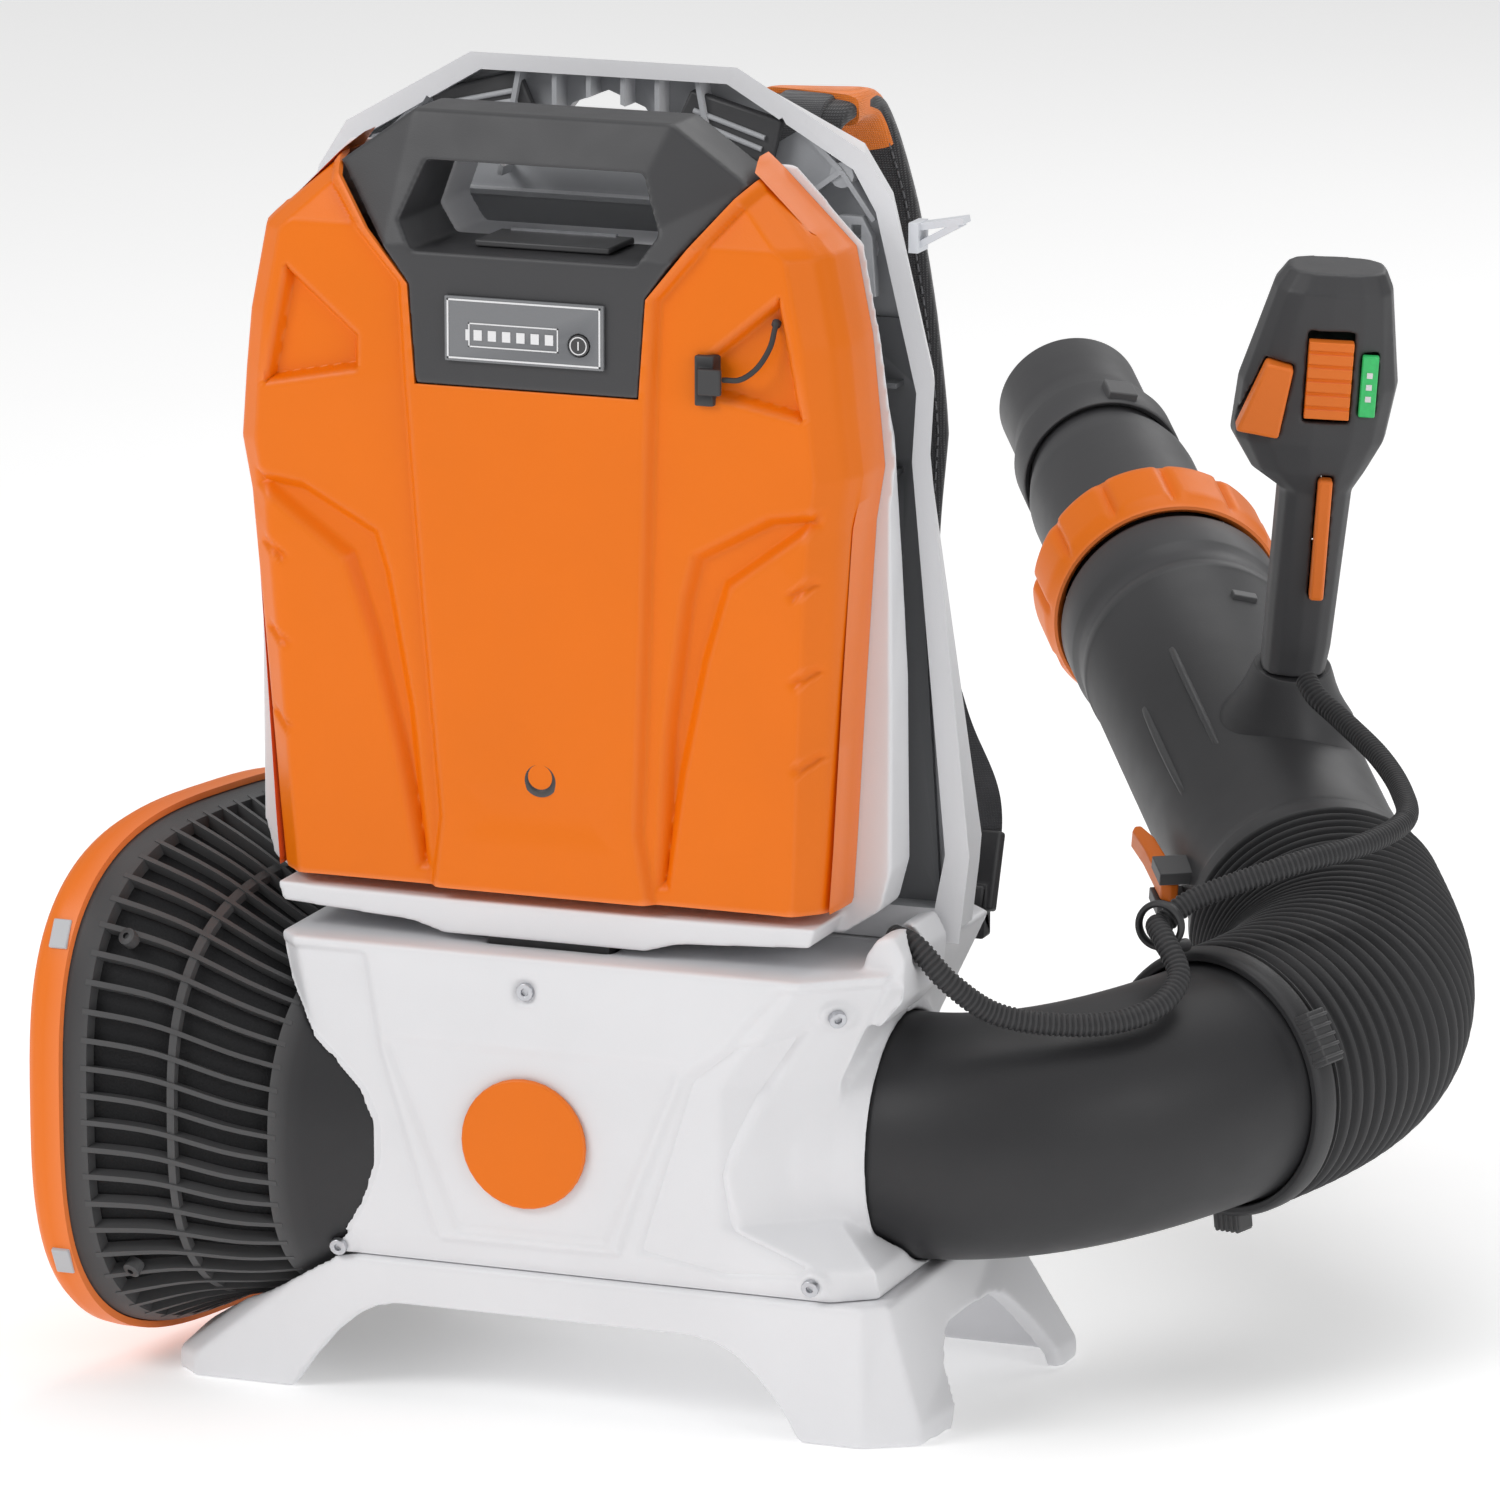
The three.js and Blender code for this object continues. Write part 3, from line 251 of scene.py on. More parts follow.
def copy_of(node, name):
    """A copy of a CAD node's mesh, joined up and with its flat faces merged."""
    mesh = frame["nodes"][node].data.copy()
    mesh.name = name
    bm = bmesh.new()
    bm.from_mesh(mesh)
    bmesh.ops.remove_doubles(bm, verts=bm.verts, dist=2e-6)
    bmesh.ops.dissolve_limit(
        bm, angle_limit=math.radians(0.6), verts=bm.verts, edges=bm.edges)
    bm.to_mesh(mesh)
    bm.free()
    if "custom_normal" in mesh.attributes:
        mesh.attributes.remove(mesh.attributes["custom_normal"])
    obj = bpy.data.objects.new(name, mesh)
    bpy.context.scene.collection.objects.link(obj)
    return obj


def bevel(obj, width, segments=2, angle=35):
    modifier = obj.modifiers.new("rounding", "BEVEL")
    modifier.width = width * MM
    modifier.segments = segments
    modifier.limit_method = "ANGLE"
    modifier.angle_limit = math.radians(angle)
    modifier.harden_normals = False
    return obj


def melt(obj, voxel, rounds):
    """Rounds every edge the way a mould does: a fine remesh, then smoothing."""
    remesh = obj.modifiers.new("skin", "REMESH")
    remesh.mode = "VOXEL"
    remesh.voxel_size = voxel * MM
    remesh.use_smooth_shade = True
    smooth = obj.modifiers.new("soften", "SMOOTH")
    smooth.factor = 0.5
    smooth.iterations = rounds
    return obj


def applied(obj):
    """Turns an object's modifiers into plain mesh."""
    graph = bpy.context.evaluated_depsgraph_get()
    mesh = bpy.data.meshes.new_from_object(obj.evaluated_get(graph))
    obj.modifiers.clear()
    obj.data = mesh
    return obj


def cut_away(obj, *tools):
    """Cuts closed tool shapes out of a closed shape."""
    applied(obj)
    bm = bmesh.new()
    bm.from_mesh(obj.data)
    bmesh.ops.recalc_face_normals(bm, faces=bm.faces)
    bm.to_mesh(obj.data)
    bm.free()
    for tool in tools:
        modifier = obj.modifiers.new("cut", "BOOLEAN")
        modifier.operation = "DIFFERENCE"
        modifier.solver = "FAST"
        modifier.object = tool
    applied(obj)
    for tool in tools:
        bpy.data.objects.remove(tool)
    return obj


def prism_y(name, outline, y0, y1):
    return new_object(name, *loft([[at(x, y, z) for x, z in outline] for y in (y0, y1)]))


def body_of(node):
    for body, members in frame["record"]["behaviour"]["bodies"].items():
        if node in members:
            return body
    raise KeyError(node)


def rounded(node, material, width=0.8, segments=2):
    obj = bevel(copy_of(node, node + "_moulding"), width, segments)
    return finish_piece(obj, body_of(node), material, node)


def melted(node, material, voxel=1.5, rounds=4):
    obj = melt(copy_of(node, node + "_moulding"), voxel, rounds)
    return finish_piece(obj, body_of(node), material, node, sharp=180)


def sculpted(node, material, voxel, rounds, depth, seats):
    """Melts a node and presses its outer face in by depth(x, z), but not round the screw seats."""
    obj = melt(copy_of(node, node + "_moulding"), voxel, rounds)
    applied(obj)
    normals = [v.normal.y for v in obj.data.vertices]
    for vertex, normal in zip(obj.data.vertices, normals):
        if normal < -0.25:
            p = plate_mm(vertex.co)
            nearest = min(math.hypot(p.x - x, p.z - z) for x, z in seats)
            vertex.co.y += MM * depth(p.x, p.z) * ramp(nearest - 5.5, 3) * min(1, -1.6 * normal)
    smooth = obj.modifiers.new("soften", "SMOOTH")
    smooth.factor = 0.5
    smooth.iterations = 4
    return finish_piece(obj, body_of(node), material, node, sharp=180)


def loft(rings, closed=True, loop=False, cap_start=True, cap_end=True):
    """Points and faces of a skin over rings of equal length."""
    count = len(rings[0])
    points = [p for ring in rings for p in ring]
    faces = []
    for i in range(len(rings) if loop else len(rings) - 1):
        a, b = i * count, ((i + 1) % len(rings)) * count
        for k in range(count if closed else count - 1):
            n = (k + 1) % count
            faces.append((a + k, a + n, b + n, b + k))
    if closed and not loop:
        if cap_start:
            faces.append(tuple(range(count))[::-1])
        if cap_end:
            faces.append(tuple((len(rings) - 1) * count + k for k in range(count)))
    return points, faces


def merged(*parts):
    points, faces = [], []
    for more_points, more_faces in parts:
        start = len(points)
        points += more_points
        faces += [tuple(start + i for i in face) for face in more_faces]
    return points, faces


def box_part(x0, x1, y0, y1, z0, z1, place=lambda p: p):
    corners = ((x0, y0), (x1, y0), (x1, y1), (x0, y1))
    points = [place(at(x, y, z)) for z in (z0, z1) for x, y in corners]
    sides = [(k, (k + 1) % 4, (k + 1) % 4 + 4, k + 4) for k in range(4)]
    return points, [(3, 2, 1, 0), (4, 5, 6, 7), *sides]


class Place:
    """A local frame: origin, Z along `z`, X as near `x` as it can be."""

    def __init__(self, origin, z, x):
        self.origin = origin
        self.z = z.normalized()
        self.x = (x - self.z * x.dot(self.z)).normalized()
        self.y = self.z.cross(self.x)

    def __call__(self, p):
        return self.origin + self.x * p.x + self.y * p.y + self.z * p.z


def lathe(profile, place, around=96, loop=True):
    """A profile of (radius, height) turned about the place's Z."""
    rings = []
    for radius, height in profile:
        ring = []
        for k in range(around):
            angle = TAU * k / around
            ring.append(place(at(radius * math.cos(angle), radius * math.sin(angle), height)))
        rings.append(ring)
    return loft(rings, loop=loop)


def bezier(p, t):
    s = 1 - t
    return p[0] * s**3 + p[1] * 3 * s * s * t + p[2] * 3 * s * t * t + p[3] * t**3


def spline(points, steps):
    """A smooth line through points, as evenly spaced samples."""
    dense = []
    ends = [points[0] * 2 - points[1], *points, points[-1] * 2 - points[-2]]
    for i in range(1, len(ends) - 2):
        a, b, c, d = ends[i - 1:i + 3]
        for k in range(16):
            t = k / 16
            dense.append(0.5 * (b * 2 + (c - a) * t + (a * 2 - b * 5 + c * 4 - d) * t * t
                                + (b * 3 - a - c * 3 + d) * t**3))
    dense.append(points[-1])
    return resampled(dense, steps)


def resampled(line, steps):
    lengths = [0.0]
    for a, b in zip(line, line[1:]):
        lengths.append(lengths[-1] + (b - a).length)
    out, i = [], 0
    for k in range(steps + 1):
        want = lengths[-1] * k / steps
        while i < len(line) - 2 and lengths[i + 1] < want:
            i += 1
        span = max(lengths[i + 1] - lengths[i], 1e-9)
        out.append(line[i].lerp(line[i + 1], (want - lengths[i]) / span))
    return out


def sweep(line, radius, around=48, up=at(0, 0, 1), cap=True, loop_inside=None):
    """A round section along a line; radius(i) gives each station's radius."""
    rings, normal = [], None
    for i, p in enumerate(line):
        tangent = (line[min(i + 1, len(line) - 1)] - line[max(i - 1, 0)]).normalized()
        normal = (up if normal is None else normal)
        normal = (normal - tangent * normal.dot(tangent)).normalized()
        side = tangent.cross(normal)
        rings.append([p + (normal * math.cos(TAU * k / around) + side * math.sin(TAU * k / around))
                      * radius(i) for k in range(around)])
    if loop_inside:
        inner = [[p + (q - p).normalized() * loop_inside for q in ring]
                 for p, ring in zip(reversed(line), reversed(rings))]
        return loft(rings + inner, loop=True)
    return loft(rings, cap_start=cap, cap_end=cap)


# ---------- air intake ----------
RING_X, RING_Z, RING_TURN = -188, 138, math.radians(12)
FUNNEL = [
    (-68, 0, FAN_Z, 88, 79, 2), (-90, -1, 119, 102, 80, 2.3), (-124, -2, 124, 117, 91, 2.6),
    (-158, -4, 135, 127, 108, 2.8), (RING_X, -5, RING_Z, 133, 125, 3),
]


def funnel_station(t):
    """Section of the funnel at t = 0 (throat) to 1 (rim), smoothed between the stations."""
    s = t * (len(FUNNEL) - 1)
    i = min(int(s), len(FUNNEL) - 2)
    f = s - i
    row = lambda k: FUNNEL[max(0, min(k, len(FUNNEL) - 1))]
    out = []
    for a, b, c, d in zip(row(i - 1), row(i), row(i + 1), row(i + 2)):
        out.append(0.5 * (2 * b + (c - a) * f + (2 * a - 5 * b + 4 * c - d) * f * f
                          + (3 * b - a - 3 * c + d) * f**3))
    return out


def funnel_point(t, angle, grow=0.0, shift=0.0):
    x, y, z, half_y, half_z, power = funnel_station(t)
    bend = lambda v: math.copysign(abs(v) ** (2 / power), v)
    p = at(0, (half_y + grow) * bend(math.cos(angle)), (half_z + grow) * bend(math.sin(angle)))
    p.rotate(Matrix.Rotation(-RING_TURN * t, 3, "Z"))
    return p + at(x + shift, y, z)


def funnel_toward(t, direction, grow=0.0):
    """The funnel's wall seen from its axis in a given direction."""
    _, _, _, half_y, half_z, power = funnel_station(t)
    side, up = math.cos(direction), math.sin(direction)
    c = math.copysign((abs(side) / half_y) ** (power / 2), side)
    s = math.copysign((abs(up) / half_z) ** (power / 2), up)
    return funnel_point(t, math.atan2(s, c), grow)


def funnel_ring(t, grow, around=128, shift=0.0):
    return [funnel_point(t, TAU * (k + 0.5) / around, grow, shift) for k in range(around)]


def build_intake():
    throat = [funnel_ring(t, 0) for t in (0, 0.1, 0.2, 0.3, 0.38, 0.43)]
    throat += [funnel_ring(t, -4) for t in (0.43, 0.3, 0.15, 0)]
    rim = [funnel_ring(0.93, 0), funnel_ring(1, 0), funnel_ring(1, 0, shift=-5),
           funnel_ring(1, -5, shift=-5), funnel_ring(1, -6), funnel_ring(0.93, -6)]
    middle = [funnel_ring(0.68, -0.6), funnel_ring(0.7, -0.6),
              funnel_ring(0.7, -4), funnel_ring(0.68, -4)]
    parts = [loft(throat, loop=True), loft(rim, loop=True), loft(middle, loop=True)]
    ribs = 64
    for k in range(ribs):
        angle = TAU * (k + 0.5) / ribs
        half = 0.0095
        rings = []
        for i in range(13):
            t = 0.41 + 0.54 * i / 12
            rings.append([funnel_toward(t, angle + half, 0.3), funnel_toward(t, angle - half, 0.3),
                          funnel_toward(t, angle - half, -6), funnel_toward(t, angle + half, -6)])
        parts.append(loft(rings))
    for angle in (2.52, 3.76, 5.4, 1.0):
        p = funnel_point(0.86, angle, 0)
        outward = (p - at(RING_X + 20, -4, 135)).normalized()
        parts.append(lathe([(0.1, -4), (4.2, -4), (4.2, 1.6), (3.2, 2.2), (1.6, 2.2), (1.6, 0.8),
                            (0.1, 0.8)], Place(p, outward, at(1, 0, 0)), 20, loop=False))
    grille = new_object("intake_ribs", *merged(*parts))
    finish_piece(grille, "machine", BLACK, "intake_grille", sharp=40)
    inner = [funnel_ring(t, -7.5) for t in (0.4, 0.5, 0.6, 0.7, 0.8, 0.9, 0.99)]
    inner += [funnel_ring(t, -9) for t in (0.99, 0.8, 0.6, 0.4)]
    liner = new_object("intake_filter_screen", *loft(inner, loop=True))
    finish_piece(liner, "machine", screen_material())

    cap = lambda x, grow: [p + at(x - RING_X, 0, 0) for p in funnel_ring(1, grow)]
    rings = [cap(-215, -60), cap(-212, -30), cap(-209, -8), cap(-206, -1.5), cap(-203, 0.5),
             cap(-191, 0.5), cap(-191, 3.6), cap(-199, 3.6), cap(-204, 3), cap(-208, 0.5),
             cap(-212, -6), cap(-215, -30), cap(-218, -60)]
    dish = new_object("intake_dish", *loft(rings))
    finish_piece(dish, "machine", ORANGE, "intake_cover", sharp=50)
    clips = []
    for angle in (2.62, 3.62):
        p = funnel_point(1, angle, 3.6, -9)
        outward = at(0, math.cos(angle), math.sin(angle))
        place = Place(p, at(1, 0, 0), outward)
        clips.append(box_part(-2, 1.1, -7, 7, -4.5, 4.5, place))
    clip = bevel(new_object("dish_clips", *merged(*clips)), 0.6)
    finish_piece(clip, "machine", PALE_GREY)


def screen_material():
    """Dark fine filter mesh behind the ribs."""
    material, tree, shader = nodes_of("filter_mesh")
    grain = noise(tree, 900)
    tree.links.new(mixed(tree, grain, (0.004, 0.004, 0.005), (0.016, 0.016, 0.018)),
                   shader.inputs["Base Color"])
    shader.inputs["Roughness"].default_value = 0.75
    bump(tree, shader, grain, 0.0003)
    return material


build_intake()


# ---------- battery ----------
PACK_HALF = [(247, 137), (276, 139), (347, 143), (427, 148), (452, 152), (512, 146),
             (552, 138), (585, 104), (592, 96)]
CENTRAL_HALF = [(240, 52), (280, 46), (330, 49), (380, 52), (460, 56), (532, 60), (585, 106)]
CHANNEL = [(140, 440), (114, 436), (76, 415), (70, 394), (60, 330), (54, 252), (64, 252),
           (74, 310), (86, 363), (97, 398), (140, 430)]
POCKET = [(122, 538), (134, 478), (84, 488), (84, 506)]
BLOCK = [(-55, 485.5), (55, 485.5), (58.5, 531.7), (102.6, 585.2), (63, 640), (-63, 640),
         (-102.6, 585.2), (-58.5, 531.7)]


def between(table, z):
    for (z0, a), (z1, b) in zip(table, table[1:]):
        if z <= z1:
            return a + (b - a) * max(0, (z - z0)) / (z1 - z0)
    return table[-1][1]


def inside_by(polygon, x, z):
    """How far a point lies inside a polygon; negative outside it."""
    nearest, odd = 1e9, False
    for (x0, z0), (x1, z1) in zip(polygon, polygon[1:] + polygon[:1]):
        dx, dz = x1 - x0, z1 - z0
        t = max(0, min(1, ((x - x0) * dx + (z - z0) * dz) / (dx * dx + dz * dz)))
        nearest = min(nearest, math.hypot(x - x0 - dx * t, z - z0 - dz * t))
        if (z0 > z) != (z1 > z) and x < x0 + dx * (z - z0) / dz:
            odd = not odd
    return nearest if odd else -nearest


def ramp(distance, width):
    t = max(0, min(1, distance / width))
    return t * t * (3 - 2 * t)


def battery_front(x, z):
    """Depth of the battery's front face: a proud middle, channels, lobes and pockets."""
    side = abs(x)
    lean = 0.055 * max(0, 485 - z)
    y = -94.5 + lean
    y += 5 * ramp(side - between(CENTRAL_HALF, z), 5)
    y += 6 * ramp(inside_by(CHANNEL, side, z), 7)
    y += 6.5 * ramp(inside_by(POCKET, side, z), 4)
    lobe = min(side - 108, between(PACK_HALF, z) - side, 424 - z)
    y -= 1.2 * ramp(lobe, 26)
    edge = between(PACK_HALF, z) - side
    y += max(0, 15 - edge) * 0.95 + 7 * ramp(5 - edge, 5)
    y += max(0, z - 556) * 0.55
    shallow = min(40 - side, z - 268, 300 - z)
    y += 1.6 * ramp(shallow, 16)
    for height in (319, 360, 401):
        along = (side - 130) * 0.8 + (z - height) * 0.6
        across = (z - height) * 0.8 - (side - 130) * 0.6
        y += 2.2 * ramp(1 - max(abs(along) / 9, abs(across) / 3), 0.6)
    return y


def build_battery():
    split = -40
    rows = 250
    columns = 210
    lines = []
    for j in range(rows + 1):
        z = 247 + (592 - 247) * j / rows
        half = between(PACK_HALF, z)
        line = [at(-half - 0.5, split, z), at(-half - 0.3, -52, z), at(-half, -66, z)]
        for i in range(columns + 1):
            u = -1 + 2 * i / columns
            x = half * math.copysign(abs(u) ** 0.92, u) * 0.998
            line.append(at(x, battery_front(x, z), z))
        line += [at(half, -66, z), at(half + 0.3, -52, z), at(half + 0.5, split, z)]
        lines.append(line)
    foot = [at(p.x * 0.985, split, 249) for p in lines[0]]
    cap = [at(p.x * 0.9, split, 590) for p in lines[-1]]
    shell = new_object("battery_front_moulding", *loft([foot, *lines, cap], closed=False))
    wall = shell.modifiers.new("wall", "SOLIDIFY")
    wall.thickness = 0.0025
    wall.offset = 0
    cut_away(shell, prism_y("block_space", BLOCK, -130, -20))
    finish_piece(shell, "battery", ORANGE, "battery_shell", sharp=52)
    melted("battery_back_shell", WHITE, 1.4, 4)
    melted("battery_handle", CHARCOAL, 1.1, 7)
    rounded("connector_cover", CHARCOAL, 0.8)
    rounded("socket_plug", RUBBER, 0.8)
    rounded("display_panel", GREY, 0.6)
    rounded("status_button", CHARCOAL, 0.7, 3)

    edge = new_object("lid_edge_strip", *box_part(-27, 25, -47, -44.6, 550.2, 551.6))
    finish_piece(edge, "connector_lid", STEEL, sharp=30)

    frame_bars = []
    for x0, x1, z0, z1 in ((-37.6, 37.6, 526, 526.8), (-37.6, 37.6, 499.2, 500),
                           (-37.6, -36.8, 499.2, 526.8), (36.8, 37.6, 499.2, 526.8),
                           (-27, 17, 515.6, 516.2), (-27, 17, 505, 505.6),
                           (-27, -26.4, 505, 516.2), (16.4, 17, 505, 516.2),
                           (-28.4, -27, 508, 513)):
        frame_bars.append(box_part(x0, x1, -98.5, -97.9, z0, z1))
    for k in range(6):
        x = -24.4 + 7 * k
        frame_bars.append(box_part(x, x + 4, -98.55, -97.9, 508.2, 513))
    gauge = new_object("charge_gauge", *merged(*frame_bars))
    finish_piece(gauge, "battery", SYMBOL, sharp=20)
    ring = lathe([(4.2, -0.3), (4.2, 0.15), (3.7, 0.15), (3.7, -0.3)],
                 Place(at(27, -98.8, 509), at(0, -1, 0), at(0, 0, 1)), 32)
    bar = box_part(26.7, 27.3, -99, -98.6, 507, 511)
    mark = new_object("status_button_mark", *merged(ring, bar))
    finish_piece(mark, "battery_button", SYMBOL, sharp=20)

    strap = spline([at(95, -93, 497), at(104, -94, 498), at(112, -93.5, 504), at(117, -91, 513),
                    at(118.5, -89, 521), at(118.5, -86, 524)], 40)
    lanyard = new_object("plug_lanyard", *sweep(strap, lambda i: 1.3 + 0.9 * (i > 37), 12))
    finish_piece(lanyard, "battery", RUBBER, sharp=60)
    recess = lathe([(9, -0.5), (9, 1.2), (6.5, 2), (4, 0.4), (0.1, 0.2), (0.1, -0.5)],
                   Place(at(2, battery_front(2, 303) + 0.4, 303), at(0, -1, 0), at(0, 0, 1)), 32)
    dome = new_object("vent_plug", *recess)
    finish_piece(dome, "battery", BLACK, sharp=35)


build_battery()

# ---------- housing, base and backplate ----------
BIB = [(-86, 226), (-75, 170), (-52, 95), (-46, 81), (43, 82), (49, 101), (76, 170),
       (95, 184), (128, 222)]
VALLEY = [(51, 83), (95, 74), (157, 80), (103, 101), (98, 124), (112, 158), (138, 200),
          (100, 188), (78, 170)]
SCREW_SPOTS = [(-3, 203), (144, 200.2), (139, 76.9), (-97, 72.7)]


def housing_relief(x, z):
    """The raised bib under the battery and the hollow between it and the collar."""
    depth = 2.6 - 2.6 * ramp(inside_by(BIB, x, z) + 2, 3.5) if z < 214 else 0
    depth += 6 * ramp(inside_by(VALLEY, x, z), 9)
    return depth


sculpted("housing_cover", WHITE, 1.5, 8, housing_relief, SCREW_SPOTS)
melted("housing_body", WHITE, 1.8, 8)
melted("base_frame", WHITE, 1.8, 6)
# The backplate is white plastic; the faces inside its recess get pale grey as painted shade in the
# recess.
plate = rounded("backplate", [WHITE, PALE_GREY], 0.8)
for face in plate.data.polygons:
    middle = plate_mm(face.center)
    outward = face.normal.x * middle.x + face.normal.z * (middle.z - 400) * 2
    face.material_index = int(1.5 < middle.y < 18 and (outward < 0 or abs(face.normal.y) > 0.7))

for side, corners in ((-1, [(38, 597), (46, 615), (90, 603), (86, 588)]),
                      (1, [(32, 594), (40, 611), (85, 599), (79, 577)])):
    outline = [(side * x, z) for x, z in corners]
    anchor = bevel(new_object("strap_anchor_plate", *loft(
        [[at(x, y, z) for x, z in outline] for y in (8, 14)])), 1.5, 3)
    finish_piece(anchor, "machine", CHARCOAL, sharp=40)
    bars = []
    for share in (0.3, 0.55):
        ends = []
        for near, far in ((0, 1), (3, 2)):
            (x0, z0), (x1, z1) = outline[near], outline[far]
            ends.append(at(x0 + (x1 - x0) * share, 7.4, z0 + (z1 - z0) * share))
        run = [ends[0].lerp(ends[1], t) for t in (0.12, 0.5, 0.88)]
        bars.append(sweep(run, lambda i: 1.3, 12, up=at(0, 1, 0)))
    loops = new_object("strap_anchor_bars", *merged(*bars))
    finish_piece(loops, "machine", PALE_GREY, sharp=50)
for side in ("left", "right"):
    rounded(f"side_channel_{side}", GREY, 0.6)
    rounded(f"battery_lock_{side}", PALE_GREY, 0.8)
    rounded(f"strap_buckle_{side}", BLACK, 1.6, 3)
rounded("cable_clip", CLEAR, 0.5)
rounded("badge_disc", ORANGE, 1.2, 3)
for node in ("lock_screw_left", "lock_screw_right", "cover_screw_top", "collar_screw_top",
             "collar_screw_bottom", "intake_screw"):
    rounded(node, STEEL, 0.3)

# ---------- elbow, hose and blow tube ----------
ELBOW_END = at(278, 98, 142)
ELBOW_DIR = at(0.35, 0.93, 0.05).normalized()
TUBE_START = at(264, 270, 176)
TUBE_DIR = at(-0.51, 0.8, 0.28).normalized()
HOSE = (ELBOW_END, ELBOW_END + ELBOW_DIR * 100, TUBE_START - TUBE_DIR * 72, TUBE_START)
TUBE = Place(TUBE_START, TUBE_DIR, at(0, 0, 1))
PIPE_R, TUBE_R, NUT_AT, NOZZLE_R, TIP_R, TIP_END = 57.5, 56, 318, 45, 38, 553


def bellows_radius(phase):
    """Radius of the bellows at a fold's phase, between root and crest."""
    crest = math.cos(TAU * phase)
    return 61.9 + 2.1 * math.copysign(abs(crest) ** 0.6, crest)


def build_hose():
    for name, t0, t1, body, folds in (("lower", 0, 0.4, None, 11), ("mid", 0.4, 0.6, "hose", 5),
                                      ("upper", 0.6, 1, None, 11)):
        dense = [bezier(HOSE, t0 + (t1 - t0) * k / 400) for k in range(401)]
        steps = folds * 10
        line = resampled(dense, steps)
        hose = new_object(f"hose_{name}", *sweep(
            line, lambda i: bellows_radius(i / 10), 80, loop_inside=56))
        finish_piece(hose, body, RUBBER, f"bellows_{name}", sharp=70)
        if name == "lower":
            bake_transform(hose)
        elif name == "upper":
            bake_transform(hose)


build_hose()


def build_elbow():
    straight = [at(121, 0, FAN_Z), at(160, 0, FAN_Z)]
    bend = [at(160, 0, FAN_Z), at(222, 0, FAN_Z + 2), ELBOW_END - ELBOW_DIR * 48, ELBOW_END]
    line = resampled(straight + [bezier(bend, k / 60) for k in range(1, 61)], 60)
    lip = lambda i: PIPE_R + 1.4 * ramp(i - 56, 1)
    elbow = new_object("elbow_moulding", *sweep(line, lip, 96, loop_inside=PIPE_R - 3))
    finish_piece(elbow, "machine", BLACK, "outlet_elbow", sharp=50)

    place = Place(ELBOW_END - ELBOW_DIR * 8, ELBOW_DIR, at(0, 0, 1))
    inner = PIPE_R + 1.7
    band = lathe([(inner, -7), (62.6, -7), (64, -5.5), (64.6, -3), (64.6, 3), (64, 5.5),
                  (62.6, 7), (inner, 7)], place, 96)
    parts = [band]
    for angle, wide, deep, tall in ((62, 13, 9.5, 6), (176, 8, 10, 5)):
        turn = Matrix.Rotation(math.radians(angle), 3, "Z")
        spin = lambda p, turn=turn: place(turn @ p)
        parts.append(box_part(60, 61.5 + deep, -wide, wide, -tall, tall, spin))
        for k in range(-2, 3):
            y = wide * 0.38 * k
            parts.append(box_part(61, 62.6 + deep, y - 0.9, y + 0.9, -tall - 0.5, tall + 0.5, spin))
    clamp = bevel(new_object("clamp_moulding", *merged(*parts)), 0.7)
    finish_piece(clamp, "machine", BLACK, "hose_clamp", sharp=40)


